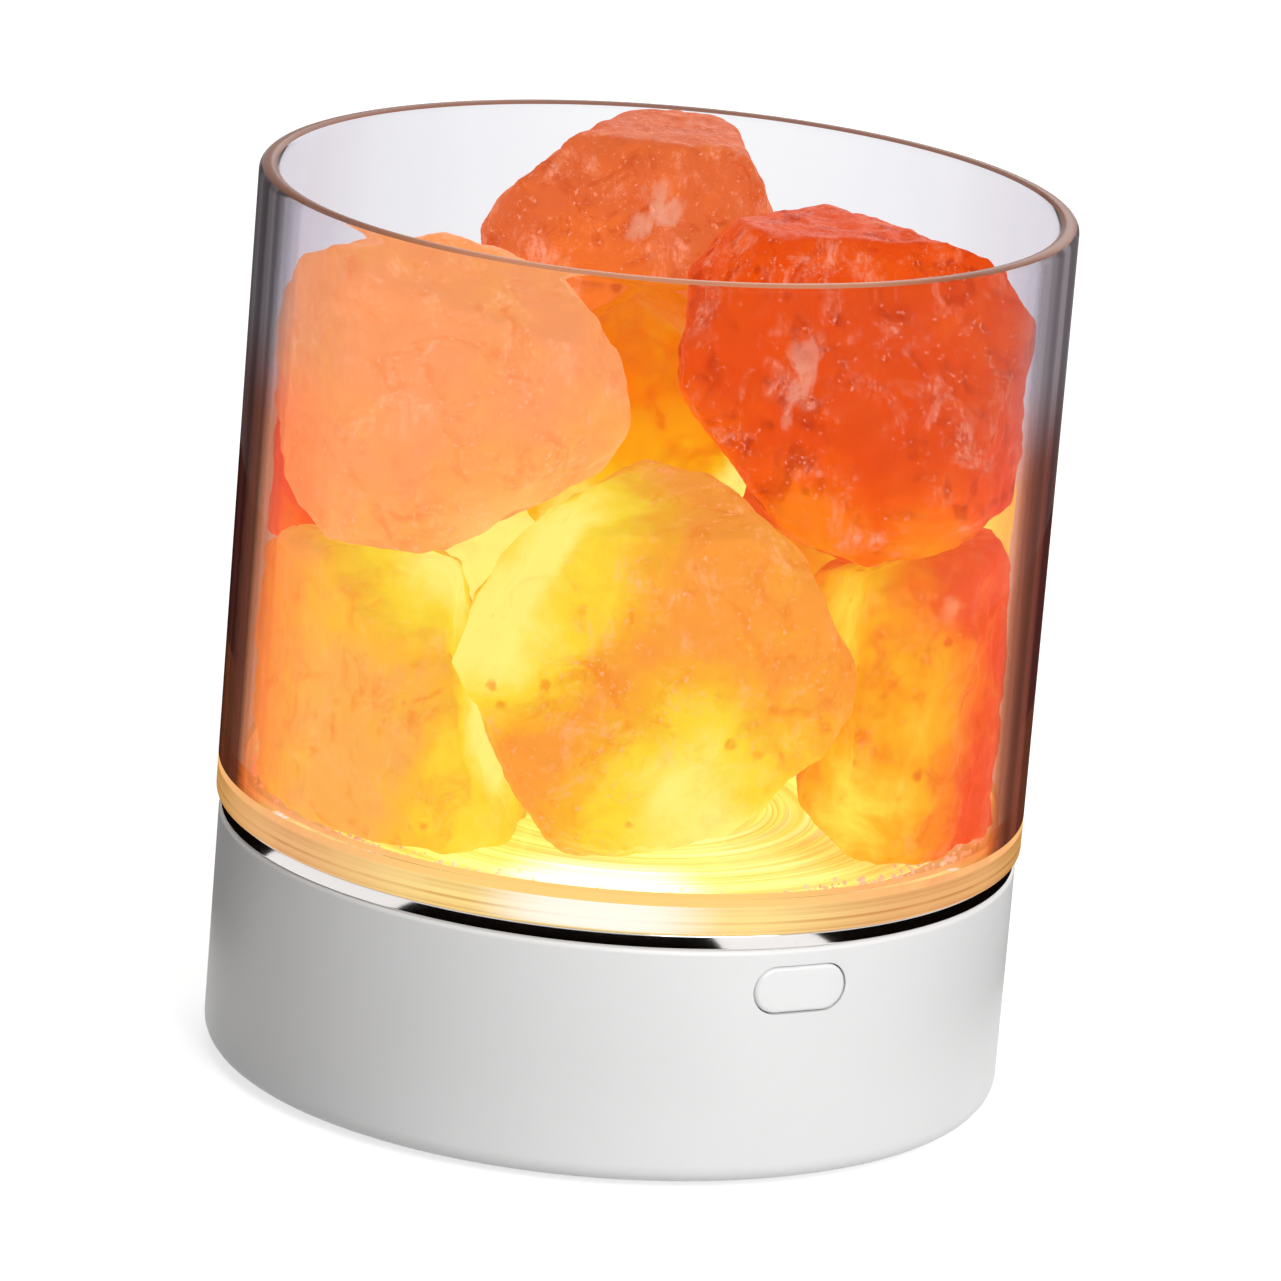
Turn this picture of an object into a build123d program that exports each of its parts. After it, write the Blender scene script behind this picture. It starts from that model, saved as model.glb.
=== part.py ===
"""A small salt crystal lamp: lumps of rock salt in a clear cup on a lit, rechargeable base.

Millimetres. The origin is the point on the lamp's axis where its feet stand, +Z is up, and the
push button faces -Y. "Left" and "right" are as seen by someone facing the button.
"""

from build123d import *
import math
import os
import random

os.makedirs("parts", exist_ok=True)

# ---- Driving dimensions ------------------------------------------------------------------------

lamp_diameter = 82.0        # outside of the cup, the widest part
cup_height = 65.1
cup_wall = 2.1
cup_floor = 3.0
cup_rim_bevel = 0.5
cup_floor_bevel = 0.8       # in the corner between the cup's wall and its floor
cup_foot_bevel = 0.5

base_height = 24.3          # white housing, from its lower edge to its deck
base_setback = 0.4          # the housing is this much slimmer than the cup, all round
base_wall = 2.6
deck_thickness = 1.5
base_top_bevel = 0.4
base_bottom_bevel = 1.2     # first cut of the rounded lower edge
base_bottom_ease = 0.45     # second cut, on both edges that the first one leaves

ring_height = 1.6           # bright band between the housing and the cup
ring_setback = 0.6
ring_width = 3.2
ring_edge_bevel = 0.25
ring_lip_width = 0.8        # the lip under the ring that sits in a groove of the deck
ring_lip_depth = 0.7
ring_lip_inset = 1.4        # from the ring's outside to the lip

gasket_width = 2.6
window_flange = 1.0         # thickness of the light window's rim
window_ledge = 4.4          # how far the window's rim lies over the deck, past a wall's thickness
window_plug_depth = 1.1     # how far its middle drops into the deck's opening
window_rib_height = 0.4
window_rib_width = 1.0
window_rib_count = 4

cover_thickness = 2.2
cover_screw_count = 4
first_screw_angle = 45
boss_radius = 2.8
boss_inset = 3.6            # from the housing's inner wall to the middle of a screw boss
boss_web_width = 1.2
screw_radius = 0.95
screw_length = 8.0
screw_head_radius = 1.9
screw_cone_angle = 90
cross_slot_width = 0.5
cross_slot_depth = 0.6

foot_radius = 4.5
foot_reach = 29.0           # from the lamp's axis to the middle of a foot, on the drawn lamp
foot_proud = 0.6
foot_recess = 0.8
foot_count = 4

battery_length = 40.0
battery_width = 30.0
battery_thickness = 5.0
battery_corner = 2.0
battery_shift = -3.0        # the battery lies a little towards the button
pad_thickness = 0.8
pad_inset = 1.0
rib_height = 3.0
rib_length = 8.0
rib_thickness = 1.2

led_board_radius = 23.0
board_thickness = 1.6
lead_room = 3.0             # between the battery and the light board, for leads
led_length = 3.5
led_width = 2.8
led_thickness = 0.8
led_ring_count = 6
led_ring_radius = 9.0
led_screw_reach = 20.8
led_screw_radius = 0.7
led_screw_head_radius = 1.5
led_screw_head_height = 0.9
led_screw_bite = 1.8        # how far the screws go into the reflector

dish_wall = 1.4
dish_floor_radius = 16.0
dish_foot_thickness = 1.6
dish_boss_radius = 1.8
dish_boss_height = 1.0
flange_thickness = 1.4
stake_radius = 0.7
stake_head_radius = 1.0
stake_head_height = 0.8
stake_count = 4

button_width = 10.0
button_height = 4.7
button_gap = 0.25           # all round, the fine line that shows about the button
button_drop = 4.2           # from the deck down to the middle of the button
button_proud = 0.1
button_travel = 0.6
button_edge_bevel = 0.2
button_ear = 1.2            # how far the plate behind the wall reaches past the button
button_plate = 1.0
button_nub = 0.4
button_nub_radius = 1.2

plunger_radius = 1.2
plunger_proud = 0.9
plunger_tail = 1.0
plunger_gap = 0.2
switch_size = 4.5
switch_depth = 3.0
switch_corner = 0.4
switch_board_width = 14.0
switch_board_height = 8.0
switch_board_thickness = 1.0
switch_board_drop = 1.6     # from the middle of the button to the middle of its board
guide_width = 2.4
guide_depth = 2.6
guide_groove = 1.0          # how far the board's edge reaches into its guide
bay_headroom = 0.5

control_board_width = 24.0
control_board_depth = 13.0
post_height = 3.0
post_radius = 1.9
post_spacing = 19.0
post_inset = 3.2            # from the board's inner edge to its screws
component_inset = 5.6       # from the same edge to the parts on the board

usb_width = 8.94
usb_height = 3.26
usb_depth = 7.35
usb_shell = 0.3
usb_mouth_setback = 0.6     # how far the socket's mouth lies inside the housing's outside
usb_tongue_width = 6.69
usb_tongue_thickness = 0.7
usb_tongue_setback = 0.8
usb_block_depth = 2.2

ribbon_width = 2.6          # each pair of leads is a flat two-core ribbon
ribbon_thickness = 1.0
lead_inset = 1.6            # from the control board's inner edge to where the leads land
led_ribbon_edge = -6.6      # left edges of the three ribbons, on either side of the middle
switch_ribbon_edge = 1.0
battery_ribbon_edge = 4.4

# ---- Named clearances --------------------------------------------------------------------------

slip = 0.2                  # around a piece that drops into its seat
hairline = 0.05             # around a pin or screw in its hole
rest_gap = 0.3              # between a moving piece and the stop behind it
stone_gap = 0.3             # between neighbouring lumps of salt
glass_gap = 0.5             # between a lump and the cup's wall
rim_gap = 0.6               # between the highest lump and the plane of the rim

# ---- Heights and radii worked out from them ----------------------------------------------------

base_bottom = foot_proud
deck_top = base_bottom + base_height
deck_underside = deck_top - deck_thickness
cover_top = base_bottom + cover_thickness
cup_bottom = deck_top + ring_height
cup_floor_top = cup_bottom + cup_floor
cup_top = cup_bottom + cup_height

cup_radius = lamp_diameter / 2
bore_radius = cup_radius - cup_wall
base_radius = cup_radius - base_setback
cavity_radius = base_radius - base_wall
ring_radius = cup_radius - ring_setback
ring_bore_radius = ring_radius - ring_width
gasket_radius = ring_bore_radius - slip
gasket_bore_radius = gasket_radius - gasket_width
window_radius = gasket_bore_radius - slip
opening_radius = window_radius - base_wall - window_ledge
boss_reach = cavity_radius - boss_inset

pad_top = cover_top + pad_thickness
battery_top = pad_top + battery_thickness
led_board_bottom = battery_top + lead_room
led_board_top = led_board_bottom + board_thickness
dish_mouth_radius = opening_radius - slip

button_level = deck_top - button_drop
plate_half_width = button_width / 2 + button_ear
plate_front = math.sqrt(cavity_radius**2 - plate_half_width**2) - rest_gap
plate_back = plate_front - button_plate
nub_back = plate_back - button_nub
switch_front = nub_back - plunger_proud
switch_board_front = switch_front - switch_depth
switch_board_back = switch_board_front - switch_board_thickness
switch_board_level = button_level - switch_board_drop
switch_board_foot = switch_board_level - switch_board_height / 2
bay_top = button_level + button_height / 2 + bay_headroom
guide_middle = switch_board_back + switch_board_thickness / 2
flange_radius = guide_middle - guide_depth / 2 - slip
stake_reach = flange_radius - stake_head_radius - hairline

control_board_bottom = cover_top + post_height
control_board_top = control_board_bottom + board_thickness
half_board = control_board_width / 2
control_board_outer = math.sqrt((cavity_radius - rest_gap) ** 2 - half_board**2)
control_board_inner = control_board_outer - control_board_depth
post_line = control_board_inner + post_inset
usb_level = control_board_top + usb_height / 2
usb_mouth = base_radius - usb_mouth_setback
usb_back = usb_mouth - usb_depth


def facing_front(distance, height):
    """A plane square to the button's travel, this far from the axis; its normal is -Y."""
    return Plane(origin=(0, -distance, height), x_dir=(1, 0, 0), z_dir=(0, -1, 0))


def facing_back(distance, height):
    """The same behind the lamp, where the charging socket is; its normal is +Y."""
    return Plane(origin=(0, distance, height), x_dir=(-1, 0, 0), z_dir=(0, 1, 0))


# ---- The cup -----------------------------------------------------------------------------------

with BuildPart() as glass_cup:
    with BuildSketch(Plane.XY.offset(cup_bottom)):
        Circle(cup_radius)
    extrude(amount=cup_height)
    with BuildSketch(Plane.XY.offset(cup_floor_top)):
        Circle(bore_radius)
    extrude(amount=cup_height - cup_floor, mode=Mode.SUBTRACT)
    rim_edges = glass_cup.edges().group_by(Axis.Z)[-1]
    chamfer(rim_edges, cup_rim_bevel)
    inner_corner = glass_cup.edges().filter_by_position(
        Axis.Z, cup_floor_top - hairline, cup_floor_top + hairline
    )
    chamfer(inner_corner, cup_floor_bevel)
    chamfer(glass_cup.edges().group_by(Axis.Z)[0], cup_foot_bevel)

glass_cup.part.label = "glass_cup"
export_step(glass_cup.part, "parts/glass_cup.step")

# ---- The ring and seal between cup and base ----------------------------------------------------

lip_outside = ring_radius - ring_lip_inset
lip_inside = lip_outside - ring_lip_width

with BuildPart() as trim_ring:
    with BuildSketch(Plane.XY.offset(deck_top)):
        Circle(ring_radius)
        Circle(ring_bore_radius, mode=Mode.SUBTRACT)
    extrude(amount=ring_height)
    outer_edges = trim_ring.edges().filter_by(GeomType.CIRCLE).sort_by(SortBy.RADIUS)[-2:]
    chamfer(outer_edges, ring_edge_bevel)
    with BuildSketch(Plane.XY.offset(deck_top - ring_lip_depth)):
        Circle(lip_outside)
        Circle(lip_inside, mode=Mode.SUBTRACT)
    extrude(amount=ring_lip_depth)

trim_ring.part.label = "trim_ring"
export_step(trim_ring.part, "parts/trim_ring.step")

with BuildPart() as cup_gasket:
    with BuildSketch(Plane.XY.offset(deck_top)):
        Circle(gasket_radius)
        Circle(gasket_bore_radius, mode=Mode.SUBTRACT)
    extrude(amount=ring_height)

cup_gasket.part.label = "cup_gasket"
export_step(cup_gasket.part, "parts/cup_gasket.step")

# ---- The light window, a clear disc with raised rings that spread the light --------------------

rib_pitch = (window_radius - slip) / window_rib_count

with BuildPart() as light_window:
    with BuildSketch(Plane.XY.offset(deck_top)):
        Circle(window_radius)
    extrude(amount=window_flange)
    with BuildSketch(Plane.XY.offset(deck_top - window_plug_depth)):
        Circle(opening_radius - slip)
    extrude(amount=window_plug_depth)
    with BuildSketch(Plane.XY.offset(deck_top + window_flange)):
        for ring_number in range(window_rib_count, 0, -1):
            rib_middle = (ring_number - 0.5) * rib_pitch
            Circle(rib_middle + window_rib_width / 2)
            Circle(rib_middle - window_rib_width / 2, mode=Mode.SUBTRACT)
    extrude(amount=window_rib_height)

light_window.part.label = "light_window"
export_step(light_window.part, "parts/light_window.step")

# ---- The housing -------------------------------------------------------------------------------

web_length = boss_inset + base_wall / 2
guide_reach = switch_board_width / 2 + slip + guide_width / 2 - guide_groove
bay_width = 2 * plate_half_width + 2 * slip

with BuildPart() as base_shell:
    with BuildSketch(Plane.XY.offset(base_bottom)):
        Circle(base_radius)
    extrude(amount=base_height)
    chamfer(base_shell.edges().group_by(Axis.Z)[-1], base_top_bevel)
    chamfer(base_shell.edges().group_by(Axis.Z)[0], base_bottom_bevel)
    bevel_edges = base_shell.edges().filter_by(GeomType.CIRCLE).sort_by(Axis.Z)[:2]
    chamfer(bevel_edges, base_bottom_ease)
    # The hollow, open below, and the opening under the light window
    with BuildSketch(Plane.XY.offset(base_bottom)):
        Circle(cavity_radius)
    extrude(amount=base_height - deck_thickness, mode=Mode.SUBTRACT)
    with BuildSketch(Plane.XY.offset(deck_underside)):
        Circle(opening_radius)
    extrude(amount=deck_thickness, mode=Mode.SUBTRACT)
    # The groove that centres the ring
    with BuildSketch(Plane.XY.offset(deck_top - ring_lip_depth - hairline)):
        Circle(lip_outside + hairline)
        Circle(lip_inside - hairline, mode=Mode.SUBTRACT)
    extrude(amount=ring_lip_depth + hairline, mode=Mode.SUBTRACT)
    # Bosses for the cover's screws, each tied to the wall by a web
    with BuildSketch(Plane.XY.offset(cover_top)):
        with PolarLocations(boss_reach, cover_screw_count, start_angle=first_screw_angle):
            Circle(boss_radius)
        web_middle = boss_reach + web_length / 2
        with PolarLocations(web_middle, cover_screw_count, start_angle=first_screw_angle):
            Rectangle(web_length, boss_web_width)
    extrude(amount=deck_underside - cover_top)
    with BuildSketch(Plane.XY.offset(cover_top)):
        with PolarLocations(boss_reach, cover_screw_count, start_angle=first_screw_angle):
            Circle(screw_radius + hairline)
    extrude(amount=screw_length, mode=Mode.SUBTRACT)
    # Stakes that hold the reflector's flange, with their heads melted over
    stake_bottom = deck_underside - flange_thickness - hairline
    with BuildSketch(Plane.XY.offset(stake_bottom)):
        with PolarLocations(stake_reach, stake_count, start_angle=first_screw_angle):
            Circle(stake_radius)
    extrude(amount=deck_underside - stake_bottom)
    with BuildSketch(Plane.XY.offset(stake_bottom - stake_head_height)):
        with PolarLocations(stake_reach, stake_count, start_angle=first_screw_angle):
            Circle(stake_head_radius)
    extrude(amount=stake_head_height)
    # Guides that hold the switch board by its side edges
    with BuildSketch(Plane.XY.offset(switch_board_foot)):
        with Locations((guide_reach, -guide_middle), (-guide_reach, -guide_middle)):
            Rectangle(guide_width, guide_depth)
    extrude(amount=deck_underside - switch_board_foot)
    with BuildSketch(Plane.XY.offset(switch_board_foot - slip)):
        with Locations((0, -guide_middle)):
            Rectangle(switch_board_width + 2 * slip, switch_board_thickness + 2 * hairline)
    extrude(amount=bay_top - switch_board_foot + slip, mode=Mode.SUBTRACT)
    # Headroom in the deck over the button's plate
    with BuildSketch(Plane.XY.offset(button_level)):
        Circle(cavity_radius)
        with Locations((0, -cavity_radius)):
            Rectangle(bay_width, 2 * (cavity_radius - switch_front), mode=Mode.INTERSECT)
    extrude(amount=bay_top - button_level, mode=Mode.SUBTRACT)
    # The button's opening
    with BuildSketch(facing_front(switch_front, button_level)):
        SlotOverall(button_width + 2 * button_gap, button_height + 2 * button_gap)
    extrude(amount=base_radius - switch_front + base_wall, mode=Mode.SUBTRACT)
    # The charging socket's opening
    with BuildSketch(facing_back(usb_back, usb_level)):
        SlotOverall(usb_width + 2 * slip, usb_height + 2 * slip)
    extrude(amount=base_radius - usb_back + base_wall, mode=Mode.SUBTRACT)

base_shell.part.label = "base_shell"
export_step(base_shell.part, "parts/base_shell.step")

# ---- The cover under the base, with its screws and feet ----------------------------------------

rib_offset = rib_thickness / 2 + rest_gap
foot_radius_from_axis = min(foot_reach, cavity_radius - foot_radius - base_wall)

with BuildPart() as bottom_cover:
    with BuildSketch(Plane.XY.offset(base_bottom)):
        Circle(cavity_radius - slip)
    extrude(amount=cover_thickness)
    with BuildSketch(Plane.XY.offset(base_bottom)):
        with PolarLocations(foot_radius_from_axis, foot_count):
            Circle(foot_radius)
    extrude(amount=foot_recess, mode=Mode.SUBTRACT)
    underside = Location((0, 0, base_bottom), (180, 0, 0))
    with Locations(underside):
        with PolarLocations(boss_reach, cover_screw_count, start_angle=first_screw_angle):
            CounterSinkHole(
                screw_radius + slip,
                screw_head_radius + hairline,
                depth=cover_thickness,
                counter_sink_angle=screw_cone_angle,
            )
    # Short ribs that keep the battery in its place
    with BuildSketch(Plane.XY.offset(cover_top)):
        end_rib = battery_length / 2 + rib_offset
        side_rib = battery_width / 2 + rib_offset
        with Locations((end_rib, battery_shift), (-end_rib, battery_shift)):
            Rectangle(rib_thickness, rib_length)
        with Locations((0, battery_shift + side_rib), (0, battery_shift - side_rib)):
            Rectangle(rib_length, rib_thickness)
    extrude(amount=rib_height)
    # Posts that carry the control board
    with BuildSketch(Plane.XY.offset(cover_top)):
        with Locations((post_spacing / 2, post_line), (-post_spacing / 2, post_line)):
            Circle(post_radius)
    extrude(amount=post_height)
    with BuildSketch(Plane.XY.offset(control_board_bottom)):
        with Locations((post_spacing / 2, post_line), (-post_spacing / 2, post_line)):
            Circle(screw_radius + hairline)
    extrude(amount=-post_height, mode=Mode.SUBTRACT)

bottom_cover.part.label = "bottom_cover"
export_step(bottom_cover.part, "parts/bottom_cover.step")

with BuildPart() as rubber_feet:
    with BuildSketch(Plane.XY):
        with PolarLocations(foot_radius_from_axis, foot_count):
            Circle(foot_radius - hairline)
    extrude(amount=foot_proud + foot_recess)
    chamfer(rubber_feet.edges().group_by(Axis.Z)[0], foot_proud / 2)

rubber_feet.part.label = "rubber_feet"
export_step(rubber_feet.part, "parts/rubber_feet.step")

screw_cone_height = screw_head_radius - screw_radius

with BuildPart() as cover_screws:
    with BuildSketch(Plane.XY.offset(base_bottom)):
        with PolarLocations(boss_reach, cover_screw_count, start_angle=first_screw_angle):
            Circle(screw_radius)
    extrude(amount=screw_length)
    with BuildSketch(Plane.XY.offset(base_bottom)):
        with PolarLocations(boss_reach, cover_screw_count, start_angle=first_screw_angle):
            Circle(screw_head_radius)
    extrude(amount=screw_cone_height, taper=screw_cone_angle / 2)
    with BuildSketch(Plane.XY.offset(base_bottom)):
        with PolarLocations(boss_reach, cover_screw_count, start_angle=first_screw_angle):
            Rectangle(screw_head_radius, cross_slot_width)
            Rectangle(cross_slot_width, screw_head_radius)
    extrude(amount=cross_slot_depth, mode=Mode.SUBTRACT)

cover_screws.part.label = "cover_screws"
export_step(cover_screws.part, "parts/cover_screws.step")

# ---- The light: board, chips and reflector -----------------------------------------------------

with BuildPart() as led_board:
    with BuildSketch(Plane.XY.offset(led_board_bottom)):
        Circle(led_board_radius)
        with Locations((0, led_screw_reach), (0, -led_screw_reach)):
            Circle(led_screw_radius + slip, mode=Mode.SUBTRACT)
    extrude(amount=board_thickness)

led_board.part.label = "led_board"
export_step(led_board.part, "parts/led_board.step")

with BuildPart() as led_chips:
    with BuildSketch(Plane.XY.offset(led_board_top)):
        Rectangle(led_length, led_width)
        with PolarLocations(led_ring_radius, led_ring_count):
            Rectangle(led_length, led_width)
    extrude(amount=led_thickness)
    chamfer(led_chips.edges().group_by(Axis.Z)[-1], led_thickness / 4)

led_chips.part.label = "led_chips"
export_step(led_chips.part, "parts/led_chips.step")

dish_foot_top = led_board_top + dish_foot_thickness
flange_bottom = deck_underside - flange_thickness
dish_flare = (dish_mouth_radius - dish_floor_radius) / (deck_underside - led_board_top)
dish_side = dish_wall * math.hypot(1, dish_flare)    # the wall, measured level


def dish_radius(level):
    """Radius of the dish's inner wall at a height."""
    return dish_floor_radius + dish_flare * (level - led_board_top)


with BuildPart() as reflector:
    with BuildSketch(Plane.XZ):
        with BuildLine():
            mouth_outside = (dish_radius(flange_bottom) + dish_side, flange_bottom)
            foot_outside = (dish_radius(dish_foot_top) + dish_side, dish_foot_top)
            Polyline(
                (dish_mouth_radius, deck_underside),
                (flange_radius, deck_underside),
                (flange_radius, flange_bottom),
                mouth_outside,
            )
            Polyline(
                mouth_outside,
                foot_outside,
                (led_board_radius, dish_foot_top),
                (led_board_radius, led_board_top),
                (dish_floor_radius, led_board_top),
                (dish_mouth_radius, deck_underside),
            )
        make_face()
    revolve(axis=Axis.Z)
    with BuildSketch(Plane.XY.offset(dish_foot_top)):
        with Locations((0, led_screw_reach), (0, -led_screw_reach)):
            Circle(dish_boss_radius)
    extrude(amount=dish_boss_height)
    with BuildSketch(Plane.XY.offset(led_board_top)):
        with Locations((0, led_screw_reach), (0, -led_screw_reach)):
            Circle(led_screw_radius + hairline)
    extrude(amount=led_screw_bite + slip, mode=Mode.SUBTRACT)
    with BuildSketch(Plane.XY.offset(flange_bottom)):
        with PolarLocations(stake_reach, stake_count, start_angle=first_screw_angle):
            Circle(stake_radius + hairline)
    extrude(amount=flange_thickness, mode=Mode.SUBTRACT)

reflector.part.label = "reflector"
export_step(reflector.part, "parts/reflector.step")

with BuildPart() as led_board_screws:
    with BuildSketch(Plane.XY.offset(led_board_bottom - led_screw_head_height)):
        with Locations((0, led_screw_reach), (0, -led_screw_reach)):
            Circle(led_screw_head_radius)
    extrude(amount=led_screw_head_height)
    with BuildSketch(Plane.XY.offset(led_board_bottom)):
        with Locations((0, led_screw_reach), (0, -led_screw_reach)):
            Circle(led_screw_radius)
    extrude(amount=board_thickness + led_screw_bite)

led_board_screws.part.label = "led_board_screws"
export_step(led_board_screws.part, "parts/led_board_screws.step")

# ---- The battery -------------------------------------------------------------------------------

with BuildPart() as battery_pad:
    with BuildSketch(Plane.XY.offset(cover_top)):
        with Locations((0, battery_shift)):
            Rectangle(battery_length - 2 * pad_inset, battery_width - 2 * pad_inset)
    extrude(amount=pad_thickness)

battery_pad.part.label = "battery_pad"
export_step(battery_pad.part, "parts/battery_pad.step")

with BuildPart() as battery_cell:
    with BuildSketch(Plane.XY.offset(pad_top)):
        with Locations((0, battery_shift)):
            Rectangle(battery_length, battery_width)
    extrude(amount=battery_thickness)
    fillet(battery_cell.edges().filter_by(Axis.Z), battery_corner)
    chamfer(battery_cell.edges().group_by(Axis.Z)[-1], battery_corner / 4)

battery_cell.part.label = "battery_cell"
export_step(battery_cell.part, "parts/battery_cell.step")

# ---- The control board and charging socket -----------------------------------------------------

with BuildPart() as control_board:
    board_middle = (control_board_inner + control_board_outer) / 2
    with BuildSketch(Plane.XY.offset(control_board_bottom)):
        with Locations((0, board_middle)):
            Rectangle(control_board_width, control_board_depth)
        with Locations((post_spacing / 2, post_line), (-post_spacing / 2, post_line)):
            Circle(screw_radius + slip, mode=Mode.SUBTRACT)
    extrude(amount=board_thickness)

control_board.part.label = "control_board"
export_step(control_board.part, "parts/control_board.step")

with BuildPart() as control_board_screws:
    with BuildSketch(Plane.XY.offset(control_board_top)):
        with Locations((post_spacing / 2, post_line), (-post_spacing / 2, post_line)):
            Circle(screw_head_radius)
    extrude(amount=led_screw_head_height)
    with BuildSketch(Plane.XY.offset(control_board_top)):
        with Locations((post_spacing / 2, post_line), (-post_spacing / 2, post_line)):
            Circle(screw_radius)
    extrude(amount=-(board_thickness + post_height - slip))

control_board_screws.part.label = "control_board_screws"
export_step(control_board_screws.part, "parts/control_board_screws.step")

# A charging chip, a coil and a capacitor: length, width and height of each, and where it lies
chip = (4.0, 3.0, 1.2)
coil = (3.0, 3.0, 1.8)
coil_offset = -5.0
capacitor = (1.6, 0.8, 0.8)
capacitor_offset = 4.0
component_line = control_board_inner + component_inset

with BuildPart() as board_parts:
    with Locations((0, component_line, control_board_top)):
        Box(*chip, align=(Align.CENTER, Align.CENTER, Align.MIN))
    with Locations((coil_offset, component_line, control_board_top)):
        Box(*coil, align=(Align.CENTER, Align.CENTER, Align.MIN))
    with Locations((capacitor_offset, component_line, control_board_top)):
        Box(*capacitor, align=(Align.CENTER, Align.CENTER, Align.MIN))

board_parts.part.label = "board_parts"
export_step(board_parts.part, "parts/board_parts.step")

with BuildPart() as usb_socket:
    with BuildSketch(facing_back(usb_back, usb_level)):
        SlotOverall(usb_width, usb_height)
        SlotOverall(usb_width - 2 * usb_shell, usb_height - 2 * usb_shell, mode=Mode.SUBTRACT)
    extrude(amount=usb_depth)

usb_socket.part.label = "usb_socket"
export_step(usb_socket.part, "parts/usb_socket.step")

with BuildPart() as usb_insert:
    block_width = usb_width - 2 * usb_shell - 2 * hairline
    block_height = usb_height - 2 * usb_shell - 2 * hairline
    with BuildSketch(facing_back(usb_back, usb_level)):
        SlotOverall(block_width, block_height)
    extrude(amount=usb_block_depth)
    with BuildSketch(facing_back(usb_back, usb_level)):
        Rectangle(usb_tongue_width, usb_tongue_thickness)
    extrude(amount=usb_depth - usb_tongue_setback)

usb_insert.part.label = "usb_insert"
export_step(usb_insert.part, "parts/usb_insert.step")

# ---- The push button and its switch ------------------------------------------------------------

with BuildPart() as button_cap:
    with BuildSketch(facing_front(plate_front, button_level)):
        SlotOverall(button_width, button_height)
    extrude(amount=cup_radius - plate_front)
    Cylinder(base_radius + button_proud, 2 * deck_top, mode=Mode.INTERSECT)
    face_edges = button_cap.faces().sort_by(Axis.Y)[0].edges()
    chamfer(face_edges, button_edge_bevel)
    with BuildSketch(facing_front(plate_back, button_level - button_ear / 2)):
        Rectangle(2 * plate_half_width, button_height + button_ear)
    extrude(amount=button_plate)
    with BuildSketch(facing_front(nub_back, button_level)):
        Circle(button_nub_radius)
    extrude(amount=button_nub)

button_cap.part.label = "button_cap"
export_step(button_cap.part, "parts/button_cap.step")

with BuildPart() as switch_plunger:
    with BuildSketch(facing_front(switch_front - plunger_tail, button_level)):
        Circle(plunger_radius)
    extrude(amount=plunger_tail + plunger_proud)

switch_plunger.part.label = "switch_plunger"
export_step(switch_plunger.part, "parts/switch_plunger.step")

with BuildPart() as tact_switch:
    with BuildSketch(facing_front(switch_board_front, button_level)):
        RectangleRounded(switch_size, switch_size, switch_corner)
    extrude(amount=switch_depth)
    with BuildSketch(facing_front(switch_front, button_level)):
        Circle(plunger_radius + plunger_gap)
    extrude(amount=-(plunger_tail + button_travel + rest_gap), mode=Mode.SUBTRACT)

tact_switch.part.label = "tact_switch"
export_step(tact_switch.part, "parts/tact_switch.step")

with BuildPart() as switch_board:
    with BuildSketch(facing_front(switch_board_back, switch_board_level)):
        Rectangle(switch_board_width, switch_board_height)
    extrude(amount=switch_board_thickness)

switch_board.part.label = "switch_board"
export_step(switch_board.part, "parts/switch_board.step")

# ---- The leads inside the base -----------------------------------------------------------------
#
# Each pair runs from its part to the inner edge of the control board, between the battery and the
# light board. A route is a list of (y, z) points, rounded where it turns.

lead_level = (battery_top + led_board_bottom) / 2
lead_bend = 0.9 * (led_board_bottom - lead_level)
lead_landing = control_board_inner + lead_inset
battery_end = battery_shift + battery_width / 2
battery_lead_level = cover_top + rib_height + ribbon_thickness
battery_lead_turn = (battery_end + control_board_inner) / 2
led_pad_line = battery_end + lead_room
switch_pad_level = switch_board_level - switch_board_height / 8
switch_lead_turn = lead_room - switch_board_back

board_end = [(lead_landing, lead_level), (lead_landing, control_board_top)]
led_route = [(led_pad_line, led_board_bottom), (led_pad_line, lead_level)] + board_end
battery_route = [
    (battery_end, battery_lead_level),
    (battery_lead_turn, battery_lead_level),
    (battery_lead_turn, lead_level),
] + board_end
switch_route = [
    (-switch_board_back, switch_pad_level),
    (switch_lead_turn, switch_pad_level),
    (switch_lead_turn, lead_level),
] + board_end

# name, where the ribbon's left edge lies, and its route
ribbons = [
    ("led_leads", led_ribbon_edge, led_route),
    ("battery_leads", battery_ribbon_edge, battery_route),
    ("switch_leads", switch_ribbon_edge, switch_route),
]

for ribbon_name, left_edge, route in ribbons:
    with BuildPart() as ribbon:
        with BuildSketch(Plane.YZ.offset(left_edge)):
            with BuildLine():
                FilletPolyline(*route, radius=lead_bend)
            trace(line_width=ribbon_thickness)
        extrude(amount=ribbon_width)
    ribbon.part.label = ribbon_name
    export_step(ribbon.part, f"parts/{ribbon_name}.step")

# ---- The lumps of salt -------------------------------------------------------------------------
#
# Each lump is a broken block: a box turned in space or a block broken to an outline, chipped by a
# spiral of fracture planes, laid against its neighbours, the cup's wall and its floor, and worn at
# its sharpest corners. They are listed for a heap of this radius and height, and follow the cup.

heap_radius = 38.9
heap_height = 62.1
chip_count = 14
chip_share = (0.70, 0.82)   # how deep the fractures lie, as a share of the block's reach
wear_count = 14
wear_depth = (0.5, 1.1)     # how much each worn corner loses
golden_turn = 2.399963      # radians from one fracture to the next round the spiral
turn_scatter = 0.35         # how far a fracture strays from the spiral, round it and up or down
height_scatter = 0.15
wall_facets = 24
neighbour_reach = 1.6       # lumps no farther apart than this many times their reaches are fitted
reach_allowance = 1.05      # a block reaches a little beyond the egg shape of its half sizes
outline_room = 1.4

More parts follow.
